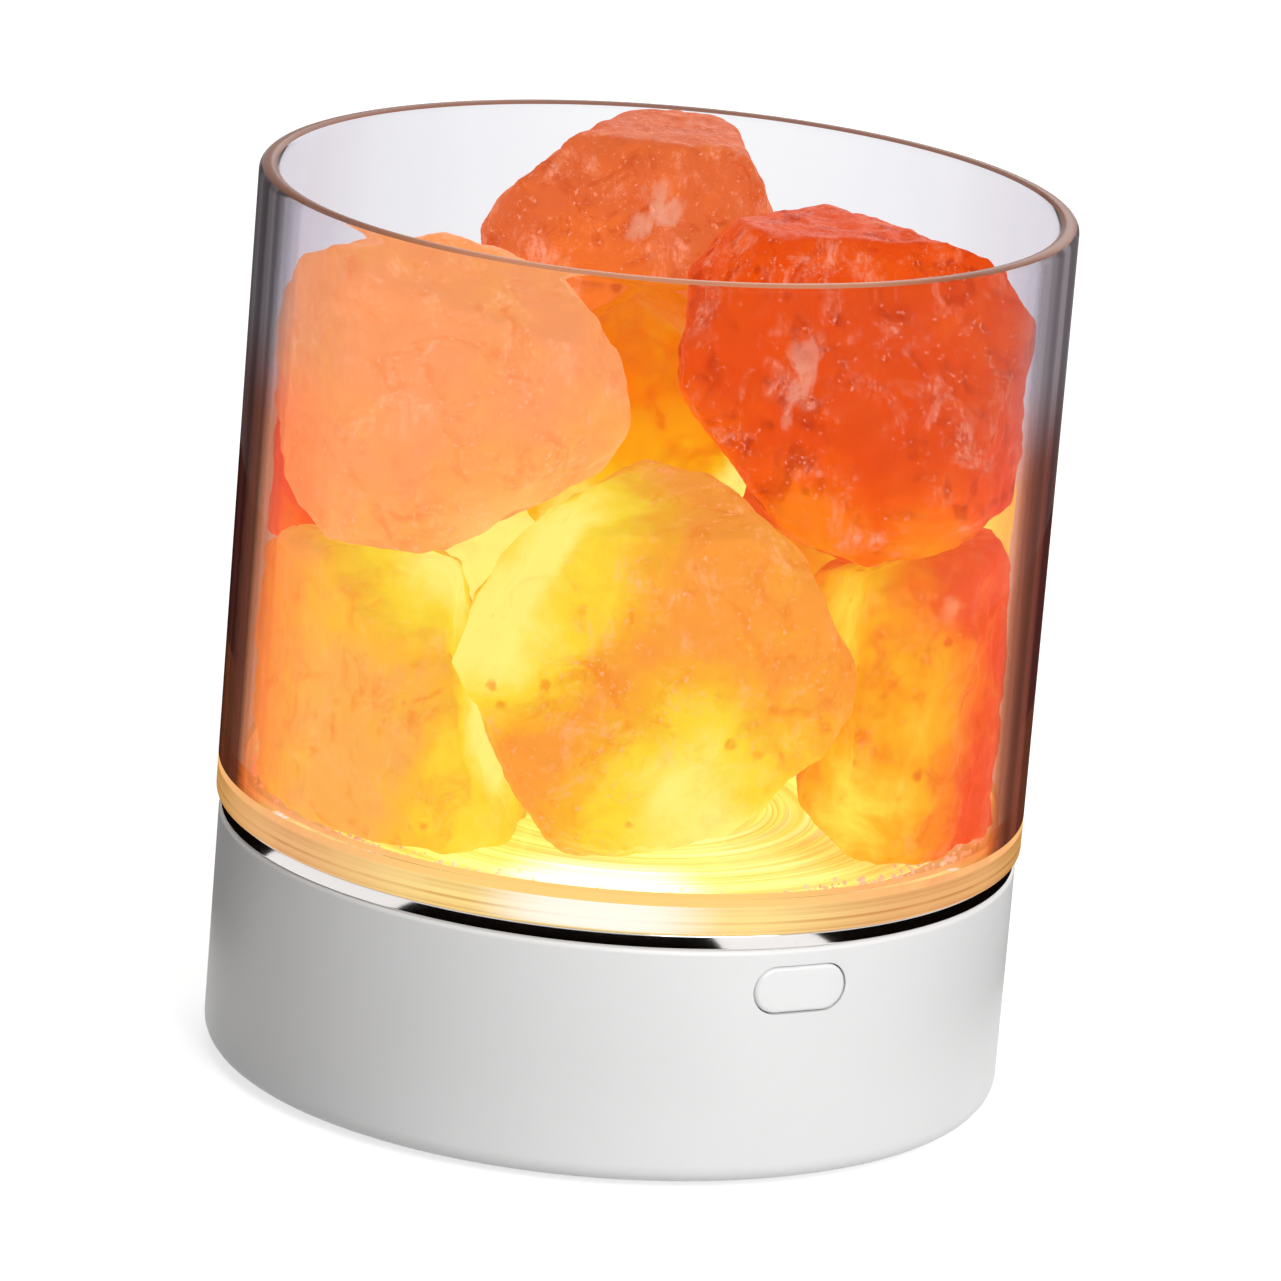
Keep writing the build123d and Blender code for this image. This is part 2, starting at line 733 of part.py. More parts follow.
# name, bearing from the button (degrees, to the right), distance from the axis, height over the
# cup's floor, half sizes of the block, turns about X, Y and Z, and the number of its break
lumps = [
    ("salt_stone_front", -24, 20.5, 18.5, (16.5, 13.0, 14.5), (38, 17, -17), 155),
    ("salt_stone_left", -88, 29.0, 9.5, (9.5, 18.0, 17.5), (-8, -10, -13), 194),
    ("salt_stone_right", 42, 33.5, 13.5, (9.0, 16.0, 14.0), (10, -5, -48), 136),
    ("salt_stone_back", -174, 26.5, 13.0, (15.0, 13.0, 13.0), (9, -5, -8), 5),
    ("salt_stone_back_right", 119, 27.5, 13.5, (14.0, 13.0, 14.0), (5, 9, -49), 6),
    ("salt_stone_core", 152, 3.0, 10.0, (10.0, 9.0, 10.0), (0, 0, 2), 7),
    ("salt_stone_upper_left", -96, 24.5, 41.5, (16.0, 14.5, 14.5), (-13, -9, -11), 92),
    ("salt_stone_upper_right", 45, 21.5, 45.5, (14.0, 14.5, 14.0), (6, 0, -7), 71),
    ("salt_stone_peak", 157, 30.0, 52.5, (15.0, 11.0, 11.0), (-10, -20, -28), 92),
    ("salt_stone_heart", 161, 6.0, 35.0, (11.0, 11.0, 12.0), (15, 26, -32), 11),
    ("salt_stone_left_chip", -121, 33.5, 32.0, (6.0, 9.0, 10.0), (0, 0, -28), 12),
    ("salt_stone_right_chip", 75, 34.0, 30.0, (6.0, 9.0, 8.5), (0, 0, -28), 13),
    ("salt_stone_middle_right", 117, 31.5, 36.0, (12.0, 10.0, 11.0), (0, 0, -28), 14),
    ("salt_stone_middle_back", -166, 32.5, 35.0, (12.0, 10.0, 10.5), (0, 0, -28), 15),
]

# The lumps at the front are broken to the outlines they show from the front left, a little above:
# half the depth that way, and the sides clockwise from the top, each as the direction it faces
# (degrees) and its distance from the lump's centre.
view_bearing = -28
view_elevation = 15
facing_share = 0.45         # how far their other fractures turn toward the front or the back
outlines = {
    "salt_stone_front": (13.0, [
        (5, 19.5), (35, 18.5), (60, 18.5), (115, 20), (135, 18), (165, 18), (230, 18), (240, 17),
        (280, 18.5), (300, 18), (330, 18),
    ]),
    "salt_stone_left": (16.0, [
        (15, 17), (70, 12), (135, 19), (180, 14), (210, 13.5), (250, 12), (270, 12), (340, 20),
    ]),
    "salt_stone_right": (15.0, [
        (65, 11), (85, 6.5), (140, 13), (160, 14.5), (195, 17), (225, 17), (255, 16), (270, 15),
        (345, 18.5),
    ]),
    "salt_stone_upper_left": (15.0, [
        (15, 15.5), (50, 17.5), (75, 19.5), (120, 19), (150, 15), (185, 18), (225, 16.5),
        (250, 14.5), (295, 17), (345, 15),
    ]),
    "salt_stone_upper_right": (14.5, [
        (15, 15.5), (50, 17), (95, 16), (135, 18.5), (150, 19), (200, 17), (230, 15.5), (270, 18),
        (310, 20), (345, 18),
    ]),
    "salt_stone_peak": (11.0, [
        (30, 12.5), (65, 12), (115, 11.5), (160, 11), (190, 13), (245, 17.5), (300, 12.5),
        (320, 9.5), (350, 11),
    ]),
}

spread = bore_radius / heap_radius
lift = (cup_top - cup_floor_top) / heap_height
growth = max(spread, lift)
view = Location((0, 0, 0), (0, 0, view_bearing)) * Location((0, 0, 0), (-view_elevation, 0, 0))


def seen(right, away, up):
    """The direction that is this far to the right, away from the eye and up in that view."""
    return (view * Location((right, away, up))).position


def turned(turns, direction):
    """The direction after the block's own turns."""
    return (Location((0, 0, 0), turns) * Location(direction)).position


def lump_centre(lump):
    bearing = math.radians(lump[1])
    distance = lump[2] * spread
    return Vector(
        distance * math.sin(bearing),
        -distance * math.cos(bearing),
        cup_floor_top + lump[3] * lift,
    )


def lump_reach(lump, direction):
    """Roughly how far a lump reaches from its centre along a direction."""
    across = (Location((0, 0, 0), lump[5]).inverse() * Location(direction)).position
    shares = [part * half * growth for part, half in zip(across, lump[4])]
    return reach_allowance * math.sqrt(sum(share**2 for share in shares))


def cut_beyond(builder, normal, distance):
    """Break off what lies beyond a plane that far from the origin, if anything does."""
    farthest = max(corner.center().dot(normal) for corner in builder.vertices())
    if farthest > distance + hairline:
        split(bisect_by=Plane(origin=normal * distance, z_dir=normal), keep=Keep.BOTTOM)


def block_to_outline(builder, lump, centre):
    """A block that fills the lump's outline, with its sides along the view."""
    half_depth, sides = outlines[lump[0]]
    width = 2 * outline_room * growth * max(side[1] for side in sides)
    with Locations(Location(centre) * view):
        Box(width, 2 * growth * half_depth, width)
    for clock, distance in sides:
        across = math.radians(clock)
        outward = seen(math.sin(across), 0, math.cos(across))
        cut_beyond(builder, outward, centre.dot(outward) + distance * growth)


def chip_block(builder, lump, centre):
    """Fracture planes on a spiral over the block, each a little in from its reach there."""
    luck = random.Random(lump[6])
    corners = [corner.center() - centre for corner in builder.vertices()]
    for number in range(chip_count):
        height = 1 - 2 * (number + 0.5) / chip_count
        circle = math.sqrt(1 - height**2)
        angle = number * golden_turn + luck.uniform(-turn_scatter, turn_scatter)
        direction = Vector(
            circle * math.cos(angle),
            circle * math.sin(angle),
            height + luck.uniform(-height_scatter, height_scatter),
        ).normalized()
        normal = turned(lump[5], direction)
        reach = max(corner.dot(normal) for corner in corners)
        depth = reach * luck.uniform(*chip_share)
        if lump[0] in outlines and abs(normal.dot(seen(0, 1, 0))) < facing_share:
            continue
        cut_beyond(builder, normal, centre.dot(normal) + depth)


def fit_to_neighbours(builder, lump, centre):
    """Flat contact faces, half a gap short of the plane that two neighbours share."""
    for other in lumps:
        if other is lump:
            continue
        apart = lump_centre(other) - centre
        toward = apart.normalized()
        own_reach = lump_reach(lump, toward)
        other_reach = lump_reach(other, toward * -1)
        if apart.length < neighbour_reach * (own_reach + other_reach):
            share = own_reach / (own_reach + other_reach)
            depth = apart.length * share - stone_gap / 2
            cut_beyond(builder, toward, centre.dot(toward) + depth)


def fit_to_cup(builder):
    """Facets along the cup's wall and its bevelled foot, a flat seat, and nothing over the rim."""
    facet_radius = bore_radius * math.cos(math.pi / wall_facets)
    foot_distance = (facet_radius - cup_floor_top - cup_floor_bevel) / math.sqrt(2)
    for number in range(wall_facets):
        angle = 2 * math.pi * (number + 0.5) / wall_facets
        outward = Vector(math.cos(angle), math.sin(angle), 0)
        cut_beyond(builder, outward, facet_radius - glass_gap)
        toward_foot = Vector(outward.X, outward.Y, -1).normalized()
        cut_beyond(builder, toward_foot, foot_distance - glass_gap)
    cut_beyond(builder, Vector(0, 0, -1), -(cup_floor_top + stone_gap))
    cut_beyond(builder, Vector(0, 0, 1), cup_top - rim_gap)


def wear_corners(builder, lump, centre):
    """Take the tip off whichever corner sticks out farthest, again and again."""
    luck = random.Random(-lump[6])
    for number in range(wear_count):
        corners = [corner.center() for corner in builder.vertices()]
        tip = max(corners, key=lambda corner: (corner - centre).length)
        normal = (tip - centre).normalized()
        cut_beyond(builder, normal, tip.dot(normal) - luck.uniform(*wear_depth))


for lump in lumps:
    lump_name = lump[0]
    middle = lump_centre(lump)
    with BuildPart() as stone:
        if lump_name in outlines:
            block_to_outline(stone, lump, middle)
        else:
            with Locations(Location(middle, lump[5])):
                Box(*(2 * half * growth for half in lump[4]))
        chip_block(stone, lump, middle)
        fit_to_neighbours(stone, lump, middle)
        fit_to_cup(stone)
        wear_corners(stone, lump, middle)
    stone.part.label = lump_name
    export_step(stone.part, f"parts/{lump_name}.step")
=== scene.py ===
"""A salt crystal lamp: rock salt in a clear cup on a lit white base, built around its CAD model.

Metres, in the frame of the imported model: the origin is where the lamp's axis meets the table, +Z is
up and the push button faces -Y.
"""

import math
import random

import bmesh
import bpy
from bpy.props import FloatProperty, FloatVectorProperty, IntProperty, PointerProperty
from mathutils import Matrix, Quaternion, Vector, noise


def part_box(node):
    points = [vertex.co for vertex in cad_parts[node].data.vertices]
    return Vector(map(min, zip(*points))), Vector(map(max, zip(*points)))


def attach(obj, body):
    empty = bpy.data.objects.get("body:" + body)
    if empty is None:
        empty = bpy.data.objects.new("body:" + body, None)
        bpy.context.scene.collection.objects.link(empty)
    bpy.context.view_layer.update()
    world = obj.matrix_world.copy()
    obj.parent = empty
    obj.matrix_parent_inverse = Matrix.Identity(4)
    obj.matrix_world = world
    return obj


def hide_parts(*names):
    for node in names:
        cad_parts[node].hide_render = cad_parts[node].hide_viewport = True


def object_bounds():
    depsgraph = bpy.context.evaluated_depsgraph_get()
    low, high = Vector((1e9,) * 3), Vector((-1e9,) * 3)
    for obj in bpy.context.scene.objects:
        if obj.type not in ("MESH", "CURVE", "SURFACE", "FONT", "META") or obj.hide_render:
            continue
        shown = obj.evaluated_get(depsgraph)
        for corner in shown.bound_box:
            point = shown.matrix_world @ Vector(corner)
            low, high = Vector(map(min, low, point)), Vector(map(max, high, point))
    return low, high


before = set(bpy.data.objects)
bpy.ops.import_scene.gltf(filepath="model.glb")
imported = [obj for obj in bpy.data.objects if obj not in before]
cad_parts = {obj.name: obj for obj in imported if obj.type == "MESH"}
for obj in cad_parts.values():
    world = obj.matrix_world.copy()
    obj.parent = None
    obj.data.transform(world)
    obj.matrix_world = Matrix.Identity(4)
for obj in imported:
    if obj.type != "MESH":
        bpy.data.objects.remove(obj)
cad_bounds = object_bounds()

bl_info = {
    "name": "Salt crystal lamp",
    "version": (1, 0, 0),
    "blender": (4, 5, 0),
    "location": "3D View > Sidebar > Salt Lamp",
    "description": "Builds the looks of a salt crystal lamp around its CAD model",
    "category": "Object",
}

MM = 0.001
TURN = 2 * math.pi
LATHE_STEPS = 224
ARC_STEPS = 6
SHARP_ANGLE = 35

# The camera that the photograph was taken with: its side and sizes in pixels, angles in degrees
PHOTO_SIDE = 1281
PHOTO_CENTRE = (634.44, 621.80)
FOCAL_LENGTH = 8361.51
CAMERA_BEARING, CAMERA_HEIGHT, CAMERA_ROLL = -28.25, 15.3665, 4.7185
CAMERA_DISTANCE = 0.845203
CAMERA_TARGET = Vector((0, 0, 0.0466))



def middle_height(node):
    """Height of the middle of a CAD node."""
    low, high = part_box(node)
    return (low.z + high.z) / 2


CUP_LOW, CUP_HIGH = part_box("glass_cup")
RING_LOW, RING_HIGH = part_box("trim_ring")
WINDOW_LOW, WINDOW_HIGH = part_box("light_window")
BASE_LOW, BASE_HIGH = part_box("base_shell")
BUTTON_FRONT = -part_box("button_cap")[0].y
SOCKET_LEVEL = middle_height("usb_socket")
BUTTON_LEVEL = middle_height("switch_plunger")

# The rounded corner inside the cup's floor; the lit strip outside ends level with its top
CUP_FILLET = 0.8 * MM
WINDOW_PLUG_RADIUS = 27.0 * MM
WINDOW_RING_PITCH, WINDOW_RING_HEIGHT = 2.0 * MM, 0.38 * MM
SOCKET_OPENING = (9.34 * MM, 3.66 * MM)
# The plate behind the push button, its edges measured from the button's middle
PLATE_FRONT, PLATE_THICKNESS = 37.19 * MM, 1.0 * MM
PLATE_SIDE, PLATE_BELOW, PLATE_ABOVE = 6.2 * MM, 3.55 * MM, 2.35 * MM
# How far the lumps stay from the cup's bore, and the height in which one flattens towards the top
STONE_GAP, STONE_BROW = 0.15 * MM, 0.6 * MM
# The vector noise in the lumps' wear takes the time as its seed unless it is given one
STONE_NOISE_SEED = 7
# How far the direction of the cup's wall leans up, in degrees: more keeps it clear from above
WALL_LEAN = 36


# ---- Settings that a user may change -----------------------------------------------------------


def length(name, description, millimetres):
    """A length property, written in millimetres and kept in metres."""
    return FloatProperty(
        name=name, description=description, default=millimetres * MM, unit="LENGTH", precision=5
    )


def colour(name, description, code):
    """A colour property, written as a hexadecimal screen colour."""
    return FloatVectorProperty(
        name=name,
        description=description,
        default=linear(code),
        subtype="COLOR",
        size=4,
        min=0,
        max=1,
    )


def linear(code):
    """Linear red, green, blue and alpha of a screen colour such as "ff8040"."""
    parts = [int(code[at : at + 2], 16) / 255 for at in (0, 2, 4)]
    return [(p / 12.92 if p <= 0.04045 else ((p + 0.055) / 1.055) ** 2.4) for p in parts] + [1]


class LampSizes(bpy.types.PropertyGroup):
    cup_wall: length("Cup wall", "Thickness of the clear cup's wall", 2.1)
    cup_floor: length("Cup floor", "Thickness of the clear cup's floor", 3.0)
    rim_rounding: length("Rim rounding", "Radius on the cup's polished rim", 0.95)
    ring_width: length("Ring width", "Trim ring, from its outside to its bore", 3.2)
    base_wall: length("Base wall", "Thickness of the housing's wall", 2.6)
    deck_thickness: length("Deck thickness", "Thickness of the housing's deck", 1.5)
    opening_radius: length("Light opening", "Radius of the opening in the deck", 27.2)
    base_top_rounding: length("Top rounding", "Radius on the housing's upper edge", 0.55)
    base_bottom_rounding: length("Bottom rounding", "Radius on the housing's lower edge", 2.1)
    button_gap: length("Button gap", "Width of the line round the push button", 0.14)
    button_width: length("Button width", "Width of the push button", 10.0)
    button_height: length("Button height", "Height of the push button", 4.7)
    button_rounding: length("Button rounding", "Radius on the push button's edge", 0.4)
    stone_voxel: length("Stone detail", "Size of the cells a lump is built from", 0.5)
    stone_wear: length("Stone wear", "How deep the breaks and hollows of a lump are", 1.05)
    crumb_count: IntProperty(
        name="Crumbs", description="Grains of salt that lie on the cup's floor", default=460, min=0
    )


class LampColours(bpy.types.PropertyGroup):
    housing: colour("Housing", "White plastic of the base", "ececec")
    button: colour("Button", "White plastic of the push button", "f0f0f0")
    ring: colour("Ring", "Bright metal of the trim ring", "d9d6d4")
    glass: colour("Glass", "Tint of the clear cup", "f6f7f9")
    # The glass edge colour is painted shade, for the dark surroundings seen through the cup's outline
    glass_edge_shade: colour("Glass edge", "Dark line of the cup at its outline", "1a1012")
    glow: colour("Glow", "Light of the lamp near its source", "ffdc7a")


# ---- Meshes ------------------------------------------------------------------------------------


def added(name, data):
    """A new object in the scene."""
    piece = bpy.data.objects.new(name, data)
    bpy.context.scene.collection.objects.link(piece)
    return piece


def new_mesh(name, verts, faces):
    """A mesh from its points and faces."""
    mesh = bpy.data.meshes.new(name)
    mesh.from_pydata(verts, [], faces)
    return mesh


def smooth(mesh, sharp=SHARP_ANGLE):
    """Shade a mesh smooth but for edges sharper than an angle in degrees."""
    mesh.shade_smooth()
    mesh.set_sharp_from_angle(angle=math.radians(sharp))


def finished(name, verts, faces):
    """A smooth object with outward faces, from its points and faces."""
    mesh = new_mesh(name, verts, faces)
    shaping = bmesh.new()
    shaping.from_mesh(mesh)
    bmesh.ops.recalc_face_normals(shaping, faces=shaping.faces)
    shaping.to_mesh(mesh)
    shaping.free()
    smooth(mesh)
    return added(name, mesh)


def rounded(corners, closed):
    """Points along an outline whose corners (radius, height, rounding) are filleted."""
    points = []
    for number, (radius, height, rounding) in enumerate(corners):
        here = Vector((radius, height))
        at_end = not closed and number in (0, len(corners) - 1)
        if rounding <= 0 or at_end:
            points.append(here)
            continue
        before = (Vector(corners[number - 1][:2]) - here).normalized()
        after = (Vector(corners[(number + 1) % len(corners)][:2]) - here).normalized()
        half = before.angle(after) / 2
        centre = here + (before + after).normalized() * rounding / math.sin(half)
        reach = rounding / math.tan(half)
        first = here + before * reach - centre
        last = here + after * reach - centre
        start = math.atan2(first.y, first.x)
        sweep = (math.atan2(last.y, last.x) - start + math.pi) % TURN - math.pi
        for step in range(ARC_STEPS + 1):
            angle = start + sweep * step / ARC_STEPS
            points.append(centre + rounding * Vector((math.cos(angle), math.sin(angle))))
    return points


def lathe(name, outline, closed, steps=LATHE_STEPS):
    """A turned object from (radius, height) points."""
    verts, rings = [], []
    for radius, height in outline:
        if radius < 1e-7:
            rings.append([len(verts)] * steps)
            verts.append((0, 0, height))
            continue
        rings.append(range(len(verts), len(verts) + steps))
        for step in range(steps):
            angle = TURN * step / steps
            verts.append((radius * math.cos(angle), radius * math.sin(angle), height))
    faces = []
    pairs = list(zip(rings, rings[1:]))
    if closed:
        pairs.append((rings[-1], rings[0]))
    for lower, upper in pairs:
        for step in range(steps):
            after = (step + 1) % steps
            corners = [lower[step], lower[after], upper[after], upper[step]]
            faces.append(list(dict.fromkeys(corners)))
    return finished(name, verts, faces)


def pill(width, height, steps=16):
    """Points round a flat-sided pill, as (across, up)."""
    radius = height / 2
    straight = width / 2 - radius
    points = []
    for side in (1, -1):
        for step in range(steps + 1):
            angle = -math.pi / 2 + math.pi * step / steps
            across = side * (straight + radius * math.cos(angle))
            points.append((across, side * radius * math.sin(angle)))
    return points


def loft(rings):
    """Vertices and faces of a closed skin over rings with as many points each."""
    verts = [point for ring in rings for point in ring]
    count = len(rings[0])
    faces = []
    for level in range(len(rings) - 1):
        for at in range(count):
            after = (at + 1) % count
            low, high = level * count, (level + 1) * count
            faces.append([low + at, low + after, high + after, high + at])
    faces.append(list(range(count)))
    faces.append(list(range(len(verts) - count, len(verts))))
    return verts, faces


def settled(piece):
    """Apply a piece's modifiers to its mesh."""
    graph = bpy.context.evaluated_depsgraph_get()
    mesh = bpy.data.meshes.new_from_object(piece.evaluated_get(graph))
    piece.modifiers.clear()
    piece.data = mesh


def cut_pill(piece, size, level, ends):
    """Cut a pill-shaped opening along Y through a piece, between two ends."""
    outline = pill(*size)
    cutter = finished("cutter", *loft([[(x, y, level + z) for x, z in outline] for y in ends]))
    cut = piece.modifiers.new("cut", "BOOLEAN")
    cut.operation, cut.solver, cut.object = "DIFFERENCE", "EXACT", cutter
    settled(piece)
    bpy.data.objects.remove(cutter)
    smooth(piece.data)


def placed(piece, body, slot, looks, *nodes):
    """Dress a piece, let it ride on its body and stand for its CAD nodes."""
    piece.data.materials.clear()
    for look in looks:
        piece.data.materials.append(look)
    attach(piece, body)
    if nodes:
        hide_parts(*nodes)


# ---- Shader building ---------------------------------------------------------------------------


def plain(value):
    """A value as a socket takes it: screen colours become linear ones."""
    return linear(value) if isinstance(value, str) else value


class Nodes:
    """Adds nodes to a tree: inputs take plain values, screen colours or other nodes' outputs."""

    def __init__(self, tree):
        self.tree = tree

    def add(self, kind, inputs=None, **settings):
        node = self.tree.nodes.new(kind if kind.startswith("Node") else f"ShaderNode{kind}")
        for name, value in settings.items():
            setattr(node, name, value)
        for name, value in (inputs or {}).items():
            self.feed(node.inputs[name], value)
        return node

    def feed(self, socket, value):
        if isinstance(value, bpy.types.NodeSocket):
            self.tree.links.new(value, socket)
        else:
            socket.default_value = plain(value)

    def fill(self, sockets, **values):
        """Feed sockets, whose names are given as words joined by underscores."""
        for name, value in values.items():
            self.feed(sockets[name.replace("_", " ")], value)

    def math(self, operation, first, second=0.0, clamp=False):
        inputs = {0: first, 1: second}
        return self.add("Math", inputs, operation=operation, use_clamp=clamp).outputs[0]

    def times(self, first, second, clamp=False):
        return self.math("MULTIPLY", first, second, clamp)

    def plus(self, first, second):
        return self.math("ADD", first, second)

    def minus(self, first, second):
        return self.math("SUBTRACT", first, second)

    def vector(self, operation, first, second=(0.0, 0.0, 0.0)):
        node = self.add("VectorMath", {0: first, 1: second}, operation=operation)
        single = operation in ("DISTANCE", "LENGTH", "DOT_PRODUCT")
        return node.outputs["Value" if single else "Vector"]

    def joined(self, x=0.0, y=0.0, z=0.0):
        return self.add("CombineXYZ", {0: x, 1: y, 2: z}).outputs[0]

    def place(self):
        return self.add("TexCoord").outputs["Object"]

    def axes(self, place):
        return self.add("SeparateXYZ", {0: place}).outputs

    def mix(self, share, first, second, blend="MIX"):
        inputs = {0: share, 6: first, 7: second}
        return self.add("Mix", inputs, data_type="RGBA", blend_type=blend).outputs[2]

    def spread(self, value, low, high, new_low=0.0, new_high=1.0, smooth=True):
        inputs = {0: value, 1: low, 2: high, 3: new_low, 4: new_high}
        kind = "SMOOTHSTEP" if smooth else "LINEAR"
        return self.add("MapRange", inputs, interpolation_type=kind).outputs[0]

    def ramp(self, value, stops):
        node = self.add("ValToRGB", {0: value})
        entries = node.color_ramp.elements
        while len(entries) < len(stops):
            entries.new(0.5)
        for entry, (place, shade) in zip(entries, stops):
            entry.position = place
            entry.color = plain(shade)
        return node.outputs[0]

    def noise(self, place, scale, detail=3.0, roughness=0.5, distortion=0.0):
        names = ("Vector", "Scale", "Detail", "Roughness", "Distortion")
        inputs = dict(zip(names, (place, scale, detail, roughness, distortion)))
        return self.add("TexNoise", inputs).outputs[0]

    def cells(self, place, scale):
        return self.add("TexVoronoi", {"Vector": place, "Scale": scale}).outputs[0]

    def bump(self, height, distance, strength):
        inputs = {"Height": height, "Distance": distance, "Strength": strength}
        return self.add("Bump", inputs).outputs[0]

    def facing(self, **inputs):
        """0 where a surface is seen face on, 1 where it is seen edge on."""
        return self.add("LayerWeight", {"Blend": 0.5, **inputs}).outputs["Facing"]

    def behind(self):
        """1 where a surface is seen from its back."""
        return self.add("NewGeometry").outputs["Backfacing"]

    def seen(self):
        """1 for rays that show a thing as it is, and 0 for those that gather its light."""
        path = self.add("LightPath").outputs
        share = self.math("MAXIMUM", path["Is Camera Ray"], path["Is Glossy Ray"])
        return self.math("MAXIMUM", share, path["Is Transmission Ray"])

    def blend(self, share, first, second):
        """One shader mixed with another."""
        return self.add("MixShader", {0: share, 1: first, 2: second}).outputs[0]

    def use(self, group, **inputs):
        """The outputs of a shared group with those inputs."""
        node = self.add("Group", node_tree=bpy.data.node_groups[group])
        self.fill(node.inputs, **inputs)
        return node.outputs


class Look(Nodes):
    """A new material with one Principled shader, whose inputs are given by name."""

    def __init__(self, name, **values):
        self.material = bpy.data.materials.new(name)
        self.material.use_nodes = True
        super().__init__(self.material.node_tree)
        self.tree.nodes.clear()
        self.shader = self.add("BsdfPrincipled")
        self.surface = self.shader.outputs[0]
        self.out = self.add("OutputMaterial", {"Surface": self.surface})
        self.set(**values)

    def set(self, **values):
        self.fill(self.shader.inputs, **values)

    def show(self, surface):
        self.feed(self.out.inputs["Surface"], surface)

    def show_unshaded(self, surface):
        """Show a surface that throws no shade, so that what it holds stays lit."""
        path = self.add("LightPath").outputs
        unseen = self.math("MAXIMUM", path["Is Shadow Ray"], path["Is Diffuse Ray"])
        self.show(self.blend(unseen, surface, self.add("BsdfTransparent").outputs[0]))


LEAKS = range(1, 4)


def new_group(name, inputs, outputs):
    """An empty shader group: its inputs with their defaults, and the names of its outputs."""
    tree = bpy.data.node_groups.new(name, "ShaderNodeTree")
    for title, default in inputs.items():
        size = len(default) if isinstance(default, tuple) else 1
        kind = {1: "NodeSocketFloat", 3: "NodeSocketVector", 4: "NodeSocketColor"}[size]
        socket = tree.interface.new_socket(title, in_out="INPUT", socket_type=kind)
        socket.default_value = default
    for title in outputs:
        kind = "NodeSocketColor" if title == "Color" else "NodeSocketFloat"
        tree.interface.new_socket(title, in_out="OUTPUT", socket_type=kind)
    nodes = Nodes(tree)
    return nodes, nodes.add("NodeGroupInput").outputs, nodes.add("NodeGroupOutput").inputs


def build_moulded_grain():
    """Fine moulded texture of plastic: faint shade changes, satin gloss and a dimpled height."""
    inputs = {"Color": (0.8, 0.8, 0.8, 1), "Shade": 0.04, "Grain Scale": 3000.0, "Roughness": 0.4}
    nodes, given, result = new_group("Moulded Grain", inputs, ("Color", "Roughness", "Height"))
    place = nodes.place()
    cloud = nodes.noise(place, 60.0, 4.0)
    darker = nodes.mix(given["Shade"], given["Color"], "000000")
    change = nodes.spread(cloud, 0.3, 0.7, -0.05, 0.05)
    nodes.fill(
        result,
        Color=nodes.mix(cloud, given["Color"], darker),
        Roughness=nodes.plus(given["Roughness"], change),
        Height=nodes.noise(place, given["Grain Scale"], 2.0, 0.6),
    )


def build_worn_metal():
    """Turned and handled metal: fine lines round the axis and faint tarnish."""
    inputs = {
        "Color": (0.7, 0.7, 0.7, 1),
        "Tarnish Color": (0.3, 0.25, 0.2, 1),
        "Tarnish": 0.15,
        "Roughness": 0.12,
    }
    nodes, given, result = new_group("Worn Metal", inputs, ("Color", "Roughness", "Height"))
    place = nodes.place()
    cloud = nodes.noise(place, 220.0, 5.0, 0.65)
    turned = nodes.noise(nodes.joined(z=nodes.axes(place)[2]), 9000.0, 2.0, 0.7)
    stain = nodes.times(nodes.spread(cloud, 0.5, 0.75), given["Tarnish"])
    nodes.fill(
        result,
        Color=nodes.mix(stain, given["Color"], given["Tarnish Color"]),
        Roughness=nodes.plus(given["Roughness"], nodes.times(turned, 0.08)),
        Height=turned,
    )


def build_rock_salt():
    """Broken rock salt: cloudy body, reddish veins, pale scratched frost, tiny bright crystals."""
    inputs = {
        "Color": (0.7, 0.3, 0.15, 1),
        "Vein Color": (0.5, 0.1, 0.04, 1),
        "Frost Color": (0.9, 0.7, 0.62, 1),
        "Frost": 0.5,
        "Seed": 0.0,
    }
    outputs = ("Color", "Roughness", "Height", "Cloud", "Vein", "Frost", "Pit")
    nodes, given, result = new_group("Rock Salt", inputs, outputs)
    place = nodes.vector("ADD", nodes.place(), nodes.joined(given["Seed"], given["Seed"]))
    cloud = nodes.noise(place, 105.0, 5.0, 0.62, 0.6)
    veins = nodes.noise(place, 170.0, 6.0, 0.7, 1.4)
    patches = nodes.noise(place, 230.0, 7.0, 0.72, 0.4)
    grain = nodes.vector("MULTIPLY", place, (1.0, 0.6, 0.22))
    scratches = nodes.noise(grain, 1300.0, 4.0, 0.7, 0.3)
    crystal = nodes.spread(nodes.noise(place, 1700.0, 2.0, 0.6), 0.58, 0.74, 0.0, 0.75)
    sparkle = nodes.times(crystal, nodes.spread(veins, 0.42, 0.58))
    vein = nodes.spread(veins, 0.5, 0.7)
    frost = nodes.spread(patches, 0.5, 0.76)
    frost = nodes.times(frost, nodes.spread(scratches, 0.38, 0.6, 0.1, 1.0))
    frost = nodes.times(nodes.math("MAXIMUM", frost, sparkle), given["Frost"])
    rough = nodes.minus(patches, 0.5)
    holes = nodes.plus(nodes.cells(place, 230.0), nodes.times(rough, 0.5))
    body = nodes.mix(vein, given["Color"], given["Vein Color"])
    chips = nodes.cells(nodes.vector("MULTIPLY", place, (1.0, 1.0, 0.7)), 420.0)
    height = nodes.plus(nodes.times(chips, 0.6), patches)
    nodes.fill(
        result,
        Color=nodes.mix(frost, body, given["Frost Color"]),
        Roughness=nodes.spread(scratches, 0.3, 0.7, 0.34, 0.6),
        Height=nodes.plus(height, nodes.times(scratches, 0.45)),
        Cloud=nodes.plus(cloud, nodes.times(rough, 0.4)),
        Vein=vein,
        Frost=frost,
        Pit=nodes.times(nodes.spread(holes, 0.18, 0.06), nodes.spread(cloud, 0.48, 0.56)),
    )


